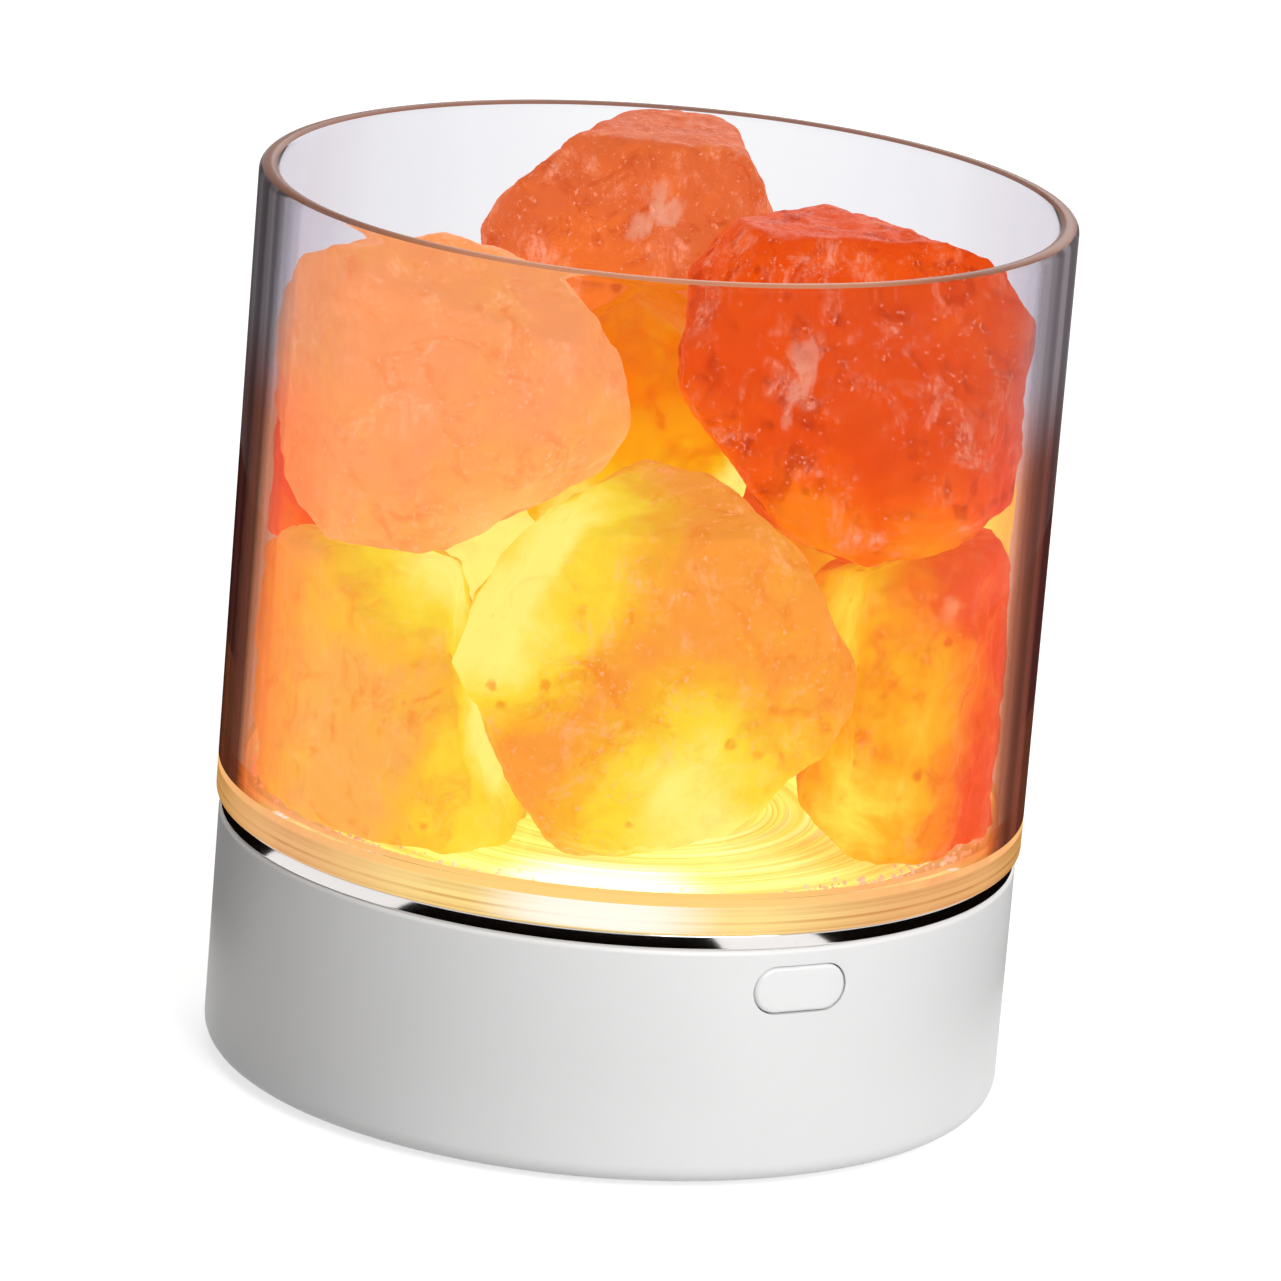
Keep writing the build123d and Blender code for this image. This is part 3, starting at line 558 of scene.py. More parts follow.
def build_light_through_salt():
    """Lamp light that has passed through salt: hot by its leaks of light, redder farther off."""
    inputs = {
        "Hot Color": (1, 0.9, 0.5, 1),
        "Near Color": (1, 0.7, 0.1, 1),
        "Middle Color": (1, 0.4, 0.05, 1),
        "Far Color": (0.6, 0.1, 0.02, 1),
        "Vein Color": (0.5, 0.1, 0.04, 1),
        "Frost Color": (1, 0.5, 0.3, 1),
    }
    for number in LEAKS:
        inputs[f"Leak {number}"] = (0, 0, 0.03)
        inputs[f"Reach {number}"] = 0.02
        inputs[f"Strength {number}"] = 1.0
    inputs |= {
        "Flaw": (0, 0, 0),
        "Flaw Lean": (0, 0, 0),
        "Flaw Size": (0.001, 0.001, 0.001),
        "Cloud": 0.5,
        "Vein": 0.0,
        "Frost": 0.0,
        "Pit": 0.0,
        "Height": 0.96,
        "Normal": (0, 0, 1),
    }
    nodes, given, result = new_group("Light Through Salt", inputs, ("Color",))
    place = nodes.place()
    light = 0.0
    for number in LEAKS:
        away = nodes.vector("DISTANCE", place, given[f"Leak {number}"])
        share = nodes.minus(1.0, nodes.math("DIVIDE", away, given[f"Reach {number}"]))
        share = nodes.times(share, given[f"Strength {number}"])
        light = nodes.math("MAXIMUM", light, share)
    light = nodes.plus(light, nodes.times(nodes.minus(given["Cloud"], 0.5), 0.85))
    glow = nodes.mix(nodes.spread(light, -0.05, 0.25), given["Far Color"], given["Middle Color"])
    glow = nodes.mix(nodes.spread(light, 0.2, 0.55), glow, given["Near Color"])
    glow = nodes.mix(nodes.spread(light, 0.5, 0.95), glow, given["Hot Color"])
    cool = nodes.times(given["Vein"], nodes.spread(light, 0.7, 0.1, 0.15, 0.75))
    glow = nodes.mix(cool, glow, given["Vein Color"])
    # A flaw is a crack inside the lump, whose face shows pale through the salt
    shift = {
        "Vector": place,
        "Location": given["Flaw"],
        "Rotation": given["Flaw Lean"],
        "Scale": given["Flaw Size"],
    }
    inside = nodes.add("Mapping", shift, vector_type="TEXTURE").outputs[0]
    edge = nodes.times(nodes.minus(given["Height"], 0.96), 1.9)
    edge = nodes.spread(nodes.plus(nodes.vector("LENGTH", inside), edge), 1.0, 0.45)
    crack = nodes.times(edge, nodes.spread(given["Height"], 0.7, 1.15, 0.45, 0.8))
    pale = nodes.times(given["Frost"], nodes.spread(light, 0.9, 0.3, 0.1, 0.85))
    glow = nodes.mix(nodes.math("MAXIMUM", pale, crack), glow, given["Frost Color"])
    glow = nodes.mix(nodes.times(given["Pit"], 0.6), glow, given["Vein Color"])
    # Faces and scratches that look down to the lamp are brighter than those that look up
    lit = nodes.vector("DOT_PRODUCT", given["Normal"], (-0.25, -0.35, -0.9))
    shaded = nodes.spread(light, 0.25, 0.8, 0.8, 0.94)
    relief = nodes.spread(lit, -1.0, 0.6, shaded, 1.0, False)
    shade = nodes.joined(relief, relief, relief)
    nodes.fill(result, Color=nodes.mix(1.0, glow, shade, "MULTIPLY"))


def grained(look, group, depth, strength, **inputs):
    """Give a material the colour, gloss and fine relief of a shared group."""
    made = look.use(group, **inputs)
    relief = look.bump(made["Height"], depth, strength)
    look.set(Base_Color=made["Color"], Roughness=made["Roughness"], Normal=relief)
    return look.material


def plastic(name, tint, shade, roughness, grain=3000.0, depth=0.01 * MM):
    """Moulded plastic in one colour."""
    values = {"Color": tint, "Shade": shade, "Grain_Scale": grain, "Roughness": roughness}
    return grained(Look(name), "Moulded Grain", depth, 0.5, **values)


def metal(name, tint, tarnish, roughness):
    """Bright or brushed metal."""
    values = {"Color": tint, "Tarnish_Color": "5b4f48", "Tarnish": tarnish, "Roughness": roughness}
    return grained(Look(name, Metallic=1.0), "Worn Metal", 0.004 * MM, 0.4, **values)


CLEAR = {"Roughness": 0.01, "IOR": 1.1, "Transmission_Weight": 1.0, "Specular_IOR_Level": 0.15}


def clear_wall(tint, edge):
    """The cup's wall: clear face on, with painted shade at its outline, first smoky and then dark,
    and a painted warm glow of the salt.
    """
    look = Look("clear_wall", **CLEAR)
    x, y, z = look.axes(look.place())
    leaning = look.joined(x, y, CUP_HIGH.x * math.tan(math.radians(WALL_LEAN)))
    facing = look.facing(Normal=look.vector("NORMALIZE", leaning))
    streaks = look.noise(look.joined(x, y), 240.0, 2.0, 0.5)
    outline = look.plus(facing, look.times(look.minus(streaks, 0.5), 0.12))
    # Painted salt glow and painted shade: towards its outline the wall turns warm orange below about
    # 68 mm and pale grey-lavender above 80 mm
    painted_salt_glow = look.spread(z, 80 * MM, 68 * MM)
    cool = look.ramp(outline, ((0.0, tint), (0.33, "f6f4f8"), (0.45, "dcd6e0"), (0.6, "a79eae")))
    warm = look.ramp(outline, ((0.0, tint), (0.36, "fff6ee"), (0.45, "ffb68c"), (0.54, "f0703c")))
    behind = look.behind()
    passed = look.mix(look.times(behind, 0.7), look.mix(painted_salt_glow, cool, warm), tint)
    look.set(Base_Color=passed)
    # Painted shade at the outline: a dark, faintly glowing surface, browner low down, for the dark
    # surroundings seen through the glass's edge
    painted_edge_shade = look.mix(painted_salt_glow, "867c82", "6c3830")
    painted_edge_shade = look.mix(look.spread(streaks, 0.42, 0.6, 0.4, 1.0), edge, painted_edge_shade)
    dark = look.add("BsdfPrincipled")
    look.fill(
        dark.inputs,
        Roughness=0.5,
        Specular_IOR_Level=0.0,
        Base_Color=painted_edge_shade,
        Emission_Color=painted_edge_shade,
        Emission_Strength=0.25,
    )
    near_side = look.minus(1.0, behind)
    share = look.times(look.spread(outline, 0.49, 0.61, 0.0, 0.92), near_side)
    look.show_unshaded(look.blend(share, look.surface, dark.outputs[0]))
    return look.material


def clear_bore():
    """The inside of the cup's wall, with faint painted grey shade that is deepest where it is seen
    edge on.
    """
    look = Look("clear_bore", **CLEAR)
    painted_shade_tints = look.ramp(look.facing(), ((0.0, "d8d8da"), (0.3, "d2d2d5"), (0.7, "c4bcc6")))
    grey = look.mix(look.noise(look.place(), 60.0, 3.0), painted_shade_tints, "f4f2f6", "MULTIPLY")
    look.set(Base_Color=look.mix(look.behind(), grey, "f8f8fa"))
    look.show_unshaded(look.surface)
    return look.material


def clear_floor():
    """The flat faces of the cup's thick floor."""
    look = Look("clear_floor", Roughness=0.02, IOR=1.14, Transmission_Weight=1.0)
    ripples = look.noise(look.place(), 300.0, 2.0)
    tint = look.mix(ripples, "fffefa", "fff8ea")
    look.set(Base_Color=tint, Normal=look.bump(ripples, 0.05 * MM, 0.3))
    look.show_unshaded(look.surface)
    return look.material


def polished_rim():
    """The rim: a painted copper-brown line for the lamp light that its thick edge gathers, and a
    painted glow that is warmer where salt glows below it.
    """
    look = Look("polished_rim", Roughness=0.25, Alpha=0.95, Specular_IOR_Level=0.03)
    place = look.place()
    # Painted light: the copper-brown base colour stands for light gathered in the thick glass edge,
    # and the emission is a painted salt glow near a spot above the salt
    over_salt = look.vector("DISTANCE", place, (-18 * MM, -34 * MM, 92 * MM))
    painted_salt_glow = look.spread(over_salt, 36 * MM, 12 * MM, 0.0, 0.75)
    look.set(
        Base_Color=look.mix(look.noise(place, 90.0, 3.0), "744430", "90604a"),
        Emission_Color=look.mix(painted_salt_glow, "402418", "f0a880"),
        Emission_Strength=0.5,
    )
    look.show_unshaded(look.surface)
    return look.material


def chip_light(look, axes, low, high):
    """Light round the cup's floor: 1 over every other lamp chip of the ring, less between them."""
    angle = look.math("ARCTAN2", axes[1], axes[0])
    return look.spread(look.math("COSINE", look.times(angle, 3.0)), low, high)


def lit_floor_edge():
    """The side of the cup's thick floor, which the lamp lights from inside: gold, in layers."""
    name = "lit_floor_edge"
    if name in bpy.data.materials:
        return bpy.data.materials[name]
    look = Look(name, Roughness=0.3, Specular_IOR_Level=0.1, Emission_Strength=0.98)
    place = look.place()
    axes = look.axes(place)
    layers = look.noise(look.joined(z=axes[2]), 1500.0, 3.0, 0.75)
    cloud = look.noise(place, 60.0, 3.0, 0.6)
    facing = look.facing()
    gold = look.mix(chip_light(look, axes, -1.0, 0.6), "e6b074", "fde494")
    gold = look.mix(look.spread(facing, 0.55, 0.9), gold, "c89858")
    near_side = look.minus(look.spread(facing, 0.6, 0.1), look.behind())
    hot = look.times(chip_light(look, axes, 0.55, 1.0), near_side, True)
    gold = look.mix(hot, gold, "fffdf0")
    lines = look.mix(look.spread(layers, 0.35, 0.6), "c89458", "ffffff")
    lines = look.mix(look.spread(cloud, 0.35, 0.65, 0.25, 0.75), "ffffff", lines)
    lines = look.mix(look.times(hot, 0.85), lines, "ffffff")
    glow = look.mix(1.0, gold, lines, "MULTIPLY")
    look.set(Emission_Color=glow, Base_Color=look.mix(layers, "4c3018", "6a4c30"))
    return look.material


def lit_hollow():
    """The rounded corner inside the cup's floor, filled with the lamp's light."""
    look = Look("lit_hollow", Roughness=0.4, Specular_IOR_Level=0.1, Emission_Strength=0.96)
    place = look.place()
    cloud = look.noise(place, 260.0, 4.0, 0.6)
    gold = look.mix(chip_light(look, look.axes(place), -0.9, 0.7), "ee9c64", "fddc7c")
    glow = look.mix(cloud, gold, "ffc880")
    look.set(Emission_Color=glow, Base_Color=look.mix(cloud, "4c3018", "6a4c30"))
    return look.material


def lit_window(tint):
    """The disc under the cup's floor: rings of light with a hot patch over each lamp chip."""
    look = Look("lit_window", Roughness=0.3)
    axes = look.axes(look.place())
    radius = look.vector("LENGTH", look.joined(axes[0], axes[1]))
    rings = look.spread(look.noise(look.joined(radius), 900.0, 3.0, 0.8), 0.4, 0.6)
    near = look.times(chip_light(look, axes, -1.0, 0.6), 0.6)
    warm = look.mix(rings, "f0a044", tint)
    warm = look.mix(near, look.mix(0.45, warm, "f0983c"), warm)
    patch = look.times(chip_light(look, axes, 0.3, 1.0), look.spread(radius, 0.02, 0.028))
    heat = look.times(patch, look.spread(rings, 0.0, 1.0, 0.7, 1.0))
    look.set(
        Emission_Color=look.mix(heat, warm, (1, 1, 0.95, 1)),
        Base_Color=look.mix(rings, "f2d9a8", "fff4d8"),
        Emission_Strength=look.plus(look.times(heat, 0.7), 1.22),
    )
    return look.material


def pale_table():
    """A pale table that shows white to the camera and keeps the lamp's soft shadow."""
    look = Look("pale_table", Roughness=0.9, Specular_IOR_Level=0.0)
    place = look.place()
    look.set(Base_Color=look.mix(look.noise(place, 4.0, 3.0), "c6c6c6", "c9c9c9"))
    far = look.spread(look.vector("LENGTH", place), 0.3, 1.0, 0.72, 1.0)
    inputs = {"Color": "ffffff", "Strength": look.times(look.seen(), far)}
    white = look.add("Emission", inputs).outputs[0]
    look.show(look.add("AddShader", {0: look.surface, 1: white}).outputs[0])
    return look.material


def dark_card():
    """Black card that only a first reflection shows, so that glass holds none of it."""
    look = Look("card_dark", Base_Color="0c0806", Roughness=1.0, Specular_IOR_Level=0.0)
    later = look.math("GREATER_THAN", look.add("LightPath").outputs["Ray Depth"], 1.5)
    look.show(look.blend(later, look.surface, look.add("BsdfTransparent").outputs[0]))
    return look.material


# ---- The lumps of salt -------------------------------------------------------------------------

# Each kind of salt: its slot; the screen colours of the light in it where a leak is hottest, near a
# leak, farther off and farthest, along its veins and in its frost; those of its body, veins, frost
SALT_KINDS = {
    "gold": ("salt_gold", "fff47c ffdc38 ffbe38 ffb254 f88e2c ffbe80", "3c1a08 4a1e08 94583a"),
    "honey": ("salt_gold", "fff47c ffdc38 ffb430 ffa03c f4841e ffb080", "3c1a08 4a1e08 8c5034"),
    "amber": ("salt_orange", "fff078 ffba14 ff9a08 fb7800 f06a04 ffb060", "2c1006 381008 7c4830"),
    "orange": ("salt_orange", "ffe450 ffb424 ff8c20 f45a1c ec5018 ff9864", "341206 401208 8c5038"),
    "peach": ("salt_peach", "ffd878 ffbc68 ffaa58 ffa064 f88a48 ffc0a0", "4c2414 5a2410 a06450"),
    "red": ("salt_red", "ffa020 fe7c10 f65c08 ea4c08 b82c06 f2a488", "1c0602 180402 4c2014"),
    "rose": ("salt_rose", "ff9434 fa7a26 ec6e2a dc6434 c44614 eca488", "48200f 441810 a87460"),
    "grains": ("salt_peach", "fff0c0 ffdca0 f4b48c e89c80 d07858 f0c4b0", "c89078 b07058 e8c8b8"),
}

# The end of the CAD node's name, kind, frost, how far the lump swells past its wear, then its leaks
# of light as (place, reach, strength). A lump's number in this list, from 1, is its seed. In mm.
STONES = (
    ("front", "honey", 1.1, 0.35,
        ((-25, -18, 54), 14, 1.4), ((-8, -32, 36), 17, 1.2), ((-19, -18, 60), 15, 1.1)),
    ("left", "gold", 0.6, 0.6,
        ((-21, -13, 40), 15, 1.3), ((-25, -8, 56), 15, 1.1), ((-22, -22, 31), 15, 0.9)),
    ("right", "orange", 0.7, 0.35,
        ((7, -33, 35), 15, 1.05), ((9, -24, 53), 14, 0.9), ((12, -34, 46), 13, 0.72)),
    ("back", "gold", 0.5, 0.3,
        ((0, 34, 31), 20, 0.9), ((-11, 14, 50), 16, 1.4), ((12, 30, 44), 14, 0.7)),
    ("back_right", "orange", 0.3, 0.3,
        ((28, 4, 34), 24, 0.9), ((28, -4, 52), 16, 0.8), ((14, 28, 40), 14, 0.8)),
    ("core", "gold", 0.2, 0.3,
        ((0, 0, 29), 60, 1.2), ((-20, -10, 50), 30, 1.2), ((0, -20, 40), 30, 1.2)),
    ("upper_left", "peach", 0.6, 0.6,
        ((-22, -20, 57), 17, 0.85), ((-9, -10, 64), 14, 0.5), ((-36, -2, 58), 12, 0.2)),
    ("upper_right", "red", 1.0, 0.6,
        ((4, -27, 60), 12, 0.85), ((-6, -12, 68), 11, 0.8), ((15, -32, 62), 10, 0.7)),
    ("peak", "rose", 0.75, 1.1,
        ((-2, 14, 76), 12, 0.7), ((10, 20, 74), 9, 0.4), ((20, 30, 78), 8, 0.2)),
    ("heart", "amber", 0.1, 0.6,
        ((-2, -10, 54), 20, 0.65), ((8, -9, 61), 8, 1.5), ((-12, -4, 59), 13, 1.15)),
    ("left_chip", "orange", 0.2, 0.3,
        ((-26, 4, 52), 12, 0.4), ((-34, 4, 54), 10, 0.3), ((-24, 24, 54), 12, 0.6)),
    ("right_chip", "amber", 0.2, 0.5,
        ((31, -17, 59), 16, 1.2), ((34, -8, 62), 12, 0.6), ((34, 2, 54), 12, 0.6)),
    ("middle_right", "amber", 0.4, 0.3,
        ((24, 12, 54), 18, 0.7), ((16, 24, 58), 14, 0.6), ((30, 8, 60), 12, 0.5)),
    ("middle_back", "peach", 0.5, 0.3,
        ((-4, 32, 54), 18, 0.7), ((4, 30, 62), 12, 0.4), ((-14, 26, 56), 12, 0.4)),
)

# Pale flaws of some lumps: place, lean in degrees and size, in mm
FLAWS = {
    "right": ((17, -34, 57), (0, 0, 0), (2, 3, 2)),
    "upper_right": ((2.8, -24.8, 78), (0, 16, 0), (1.9, 3, 5.2)),
    "peak": ((8, 17, 84), (0, 20, 0), (3.0, 4, 4.6)),
}

# The crumbs: the seed of their salt, their leaks of light, and the bearings at which they have
# drifted against the cup's wall, in degrees
CRUMB_SEED = 15
CRUMB_LEAKS = (((-13, -26, 29), 24, 1.0), ((0, 0, 29), 20, 0.1), ((0, 30, 29), 12, 0.6))
CRUMB_DRIFTS = (20, 70, 150, 178, 210, 285, 302, 320)


def in_metres(place):
    return [part * MM for part in place]


def salt_look(name, kind, frost, seed, leaks, flaw=None):
    """Rock salt with the lamp's light in it, for one lump."""
    look = Look(name, Emission_Strength=1.06, Specular_IOR_Level=0.03)
    lights, stuff = (codes.split() for codes in SALT_KINDS[kind][1:])
    given = dict(zip(("Color", "Vein_Color", "Frost_Color"), stuff))
    salt = look.use("Rock Salt", Frost=frost, Seed=seed * 0.37, **given)
    parts = ("Hot", "Near", "Middle", "Far", "Vein", "Frost")
    given = {f"{part}_Color": code for part, code in zip(parts, lights)}
    for number, (place, reach, strength) in zip(LEAKS, leaks):
        given[f"Leak_{number}"] = in_metres(place)
        given[f"Reach_{number}"] = reach * MM
        given[f"Strength_{number}"] = strength
    if flaw:
        spot, lean, size = flaw
        given["Flaw"] = in_metres(spot)
        given["Flaw_Lean"] = [math.radians(part) for part in lean]
        given["Flaw_Size"] = in_metres(size)
    for part in ("Cloud", "Vein", "Frost", "Pit", "Height"):
        given[part] = salt[part]
    relief = look.bump(salt["Height"], 0.35 * MM, 0.8)
    light = look.use("Light Through Salt", Normal=relief, **given)
    look.set(
        Base_Color=salt["Color"],
        Roughness=salt["Roughness"],
        Emission_Color=light["Color"],
        Normal=relief,
    )
    return look.material


def hollows(spot, size):
    """How deep a spot lies in shell-shaped hollows of about that size, 0 to 1."""
    near = noise.voronoi(spot / size)[0][0]
    return 1 - min(near, 1) ** 2


def wear_depth(spot):
    """How deep the wear of the lumps goes at a spot, as a share: ridges, hollows and pits."""
    spot = spot + noise.noise_vector(spot / 7) * 2.2
    ridge = (1 - abs(noise.noise(spot / 3.2))) ** 4
    pits = noise.noise(spot / 0.8) * 0.5 + 0.5
    depth = 0.5 * hollows(spot, 8.5) + 0.24 * hollows(spot, 3.0) + 0.18 * ridge + 0.08 * pits
    return depth + (0.5 * noise.noise(spot / 5) + 0.2 * noise.noise(spot / 2))


def broken_stone(node, sizes, swell, seed):
    """A lump from its CAD solid: edges worn round, faces chipped and hollowed, clear of the cup."""
    bore = CUP_HIGH.x - sizes.cup_wall - STONE_GAP
    floor, brow = CUP_LOW.z + sizes.cup_floor, cad_bounds[1][2] - STONE_BROW
    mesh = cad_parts[node].data.copy()
    mesh.name = node.replace("stone", "lump")
    shaping = bmesh.new()
    shaping.from_mesh(mesh)
    bmesh.ops.remove_doubles(shaping, verts=shaping.verts, dist=1e-6)
    shaping.to_mesh(mesh)
    shaping.free()
    stone = added(mesh.name, mesh)
    remesh = stone.modifiers.new("cells", "REMESH")
    remesh.mode, remesh.voxel_size = "VOXEL", sizes.stone_voxel
    relax = stone.modifiers.new("relax", "SMOOTH")
    relax.factor, relax.iterations = 0.5, 4
    settled(stone)
    mesh = stone.data
    far_off = Vector((seed * 37, seed * 19, seed * 53))
    normals = [vertex.normal.copy() for vertex in mesh.vertices]
    for vertex, normal in zip(mesh.vertices, normals):
        depth = sizes.stone_wear * wear_depth(vertex.co / MM + far_off)
        vertex.co += normal * (swell * MM - depth)
        vertex.co.z = max(vertex.co.z, floor)
        # A lump that reaches the lamp's full height flattens towards it
        if vertex.co.z > brow:
            vertex.co.z = brow + STONE_BROW * math.tanh((vertex.co.z - brow) / STONE_BROW)
        # Close to the floor the cup's rounded corner takes some of the room
        room = bore - max(0, CUP_FILLET - (vertex.co.z - floor))
        reach = math.hypot(vertex.co.x, vertex.co.y)
        if reach > room:
            vertex.co.x *= room / reach
            vertex.co.y *= room / reach
    mesh.shade_smooth()
    return stone


# ---- The stage ---------------------------------------------------------------------------------

# Name, bearing from the camera's side, height above level, distance, size and power
LAMPS = (
    ("key_lamp", 30, 27, 0.9, 0.55, 6.4),
    ("top_lamp", 10, 82, 0.9, 0.7, 3.2),
    ("back_lamp", 165, 30, 1.0, 0.6, 3.3),
)
# Dark cards that only the trim ring and other gloss mirror: their ends, as bearings from the
# camera's side, how far out they start and end, their height and the steps along each
CARD_SPANS = ((-51, 26), (53, 178), (-175, -99))
CARD_REACH, CARD_LEVEL, CARD_STEPS = (62 * MM, 260 * MM), 0.5 * MM, 24
TABLE_REACH, TABLE_LEVEL = 3.0, -0.02 * MM


def toward(bearing, height):
    """The direction at a bearing from the camera's side and a height above level, in degrees."""
    side, up = math.radians(bearing + CAMERA_BEARING), math.radians(height)
    return Vector((math.sin(side) * math.cos(up), -math.cos(side) * math.cos(up), math.sin(up)))


def stand_camera(scene):
    """Place the camera where the photograph was taken from."""
    camera = added("camera", bpy.data.cameras.new("camera"))
    back = toward(0, CAMERA_HEIGHT)
    turn = (-back).to_track_quat("-Z", "Y")
    turn.rotate(Quaternion(-back, -math.radians(CAMERA_ROLL)))
    camera.location = CAMERA_TARGET + back * CAMERA_DISTANCE
    camera.rotation_mode = "QUATERNION"
    camera.rotation_quaternion = turn
    lens = camera.data
    lens.sensor_width = 36
    lens.lens = FOCAL_LENGTH * lens.sensor_width / PHOTO_SIDE
    lens.shift_x = (PHOTO_SIDE / 2 - PHOTO_CENTRE[0]) / PHOTO_SIDE
    lens.shift_y = (PHOTO_CENTRE[1] - PHOTO_SIDE / 2) / PHOTO_SIDE
    lens.clip_start, lens.clip_end = 0.05, 20
    scene.camera = camera


def white_surroundings(scene):
    """Surroundings that show white and give little light."""
    world = bpy.data.worlds.new("surroundings")
    scene.world = world
    world.use_nodes = True
    world.node_tree.nodes.clear()
    nodes = Nodes(world.node_tree)
    soft, white = (
        nodes.add("Background", {"Color": "ffffff", "Strength": strength}).outputs[0]
        for strength in (0.08, 1.0)
    )
    nodes.add("OutputWorld", {"Surface": nodes.blend(nodes.seen(), soft, white)})


def hang_lamps():
    """Hang the soft studio lamps, turned to the lamp on the table."""
    for name, bearing, height, away, size, power in LAMPS:
        spot = toward(bearing, height)
        light = bpy.data.lights.new(name, "AREA")
        light.size, light.energy = size, power
        lamp = added(name, light)
        lamp.location = CAMERA_TARGET + spot * away
        lamp.rotation_mode = "QUATERNION"
        lamp.rotation_quaternion = (-spot).to_track_quat("-Z", "Y")
        lamp.visible_transmission = False


def on_stage(name, verts, faces, material):
    """A flat object of the stage."""
    mesh = new_mesh(name, verts, faces)
    mesh.materials.append(material)
    sheet = added(name, mesh)
    return sheet


def lay_cards():
    """Lay the dark cards round the base."""
    black = dark_card()
    for number, (start, end) in enumerate(CARD_SPANS, 1):
        verts = []
        for reach in CARD_REACH:
            for step in range(CARD_STEPS + 1):
                out = toward(start + (end - start) * step / CARD_STEPS, 0) * reach
                verts.append((out.x, out.y, CARD_LEVEL))
        row = CARD_STEPS + 1
        faces = [(at, at + 1, at + 1 + row, at + row) for at in range(CARD_STEPS)]
        card = on_stage(f"card_{number}", verts, faces, black)
        for ray in ("camera", "diffuse", "transmission", "shadow", "volume_scatter"):
            setattr(card, f"visible_{ray}", False)


# ---- Operators ---------------------------------------------------------------------------------


class BuildStage(bpy.types.Operator):
    """Camera, soft studio lamps, white surroundings, dark cards and a pale table"""

    bl_idname = "salt_lamp.stage"
    bl_label = "Stage"

    def execute(self, context):
        context.scene.view_settings.view_transform = "Standard"
        stand_camera(context.scene)
        white_surroundings(context.scene)
        hang_lamps()
        lay_cards()
        turns = ((-1, -1), (1, -1), (1, 1), (-1, 1))
        corners = [(x * TABLE_REACH, y * TABLE_REACH, TABLE_LEVEL) for x, y in turns]
        on_stage("table", corners, [(0, 1, 2, 3)], pale_table())
        return {"FINISHED"}


class BuildCup(bpy.types.Operator):
    """Clear cup with a polished rim and a thick floor"""

    bl_idname = "salt_lamp.cup"
    bl_label = "Clear cup"

    def execute(self, context):
        sizes, colours = context.scene.lamp_sizes, context.scene.lamp_colours
        radius, bottom, top = CUP_HIGH.x, CUP_LOW.z, CUP_HIGH.z
        bore, floor = radius - sizes.cup_wall, bottom + sizes.cup_floor
        corners = [
            (0, bottom, 0),
            (radius, bottom, 0.5 * MM),
            (radius, floor, 0),
            (radius, floor + CUP_FILLET, 0),
            (radius, top, sizes.rim_rounding),
            (bore, top, sizes.rim_rounding),
            (bore, floor, CUP_FILLET),
            (0, floor, 0),
        ]
        cup = lathe("clear_cup", rounded(corners, False), False)
        wall = clear_wall(colours.glass, colours.glass_edge_shade)
        looks = (wall, lit_floor_edge(), clear_floor(), polished_rim(), clear_bore(), lit_hollow())
        edge, flat, rim, inside, hollow = range(1, len(looks))
        placed(cup, "root", "clear_glass", looks, "glass_cup")
        for face in cup.data.polygons:
            level, reach = face.center.z, math.hypot(*face.center[:2])
            if reach > radius - 0.4 * MM and bottom + 0.1 * MM < level < floor:
                face.material_index = edge
            elif level < floor + 0.05 * MM:
                face.material_index = flat
            elif level < floor + CUP_FILLET + 0.1 * MM:
                face.material_index = hollow
            elif level > top - 0.24 * sizes.rim_rounding:
                face.material_index = rim
            elif reach < radius - sizes.cup_wall / 2:
                face.material_index = inside
        return {"FINISHED"}


class BuildRing(bpy.types.Operator):
    """Bright trim ring between the cup and the base"""

    bl_idname = "salt_lamp.ring"
    bl_label = "Trim ring"

    def execute(self, context):
        sizes, colours = context.scene.lamp_sizes, context.scene.lamp_colours
        outside, top, deck = RING_HIGH.x, RING_HIGH.z, BASE_HIGH.z
        bore, lip = outside - sizes.ring_width, outside - 1.4 * MM
        inner_lip = lip - 0.8 * MM
        corners = [
            (bore, deck, 0),
            (inner_lip, deck, 0),
            (inner_lip, RING_LOW.z, 0),
            (lip, RING_LOW.z, 0),
            (lip, deck, 0),
            (outside, deck, 0.25 * MM),
            (outside, top, 0.25 * MM),
            (bore, top, 0),
        ]
        ring = lathe("trim_band", rounded(corners, True), True)
        looks = (metal("bright_ring", colours.ring, 0.1, 0.05), lit_floor_edge())
        placed(ring, "root", "chrome_trim", looks, "trim_ring")
        for face in ring.data.polygons:
            # Its bore mirrors the lit floor, so it takes the second look, the floor's glow, as a
            # painted reflection; its top and lower faces take it too, as painted light
            if math.hypot(*face.center[:2]) < outside - 0.3 * MM:
                face.material_index = 1
        return {"FINISHED"}


class BuildWindow(bpy.types.Operator):
    """Lit disc under the cup's floor, with raised rings that spread the light"""

    bl_idname = "salt_lamp.window"
    bl_label = "Light window"

    def execute(self, context):
        outside, plug = WINDOW_HIGH.x, WINDOW_PLUG_RADIUS
        bottom, deck, face = WINDOW_LOW.z, BASE_HIGH.z, WINDOW_HIGH.z - 0.4 * MM
        bevel = 0.15 * MM
        outline = [(0, bottom), (plug, bottom), (plug, deck), (outside, deck)]
        outline += [(outside, face - bevel), (outside - bevel, face)]
        steps = 150
        for step in range(steps, -1, -1):
            radius = step / steps * (outside - 0.5 * MM)
            wave = 0.5 + 0.5 * math.cos(TURN * radius / WINDOW_RING_PITCH + math.pi)
            outline.append((radius, face + WINDOW_RING_HEIGHT * wave**2))
        window = lathe("light_disc", outline, False, 128)
        look = lit_window(context.scene.lamp_colours.glow)
        placed(window, "root", "clear_window", [look], "light_window")
        return {"FINISHED"}


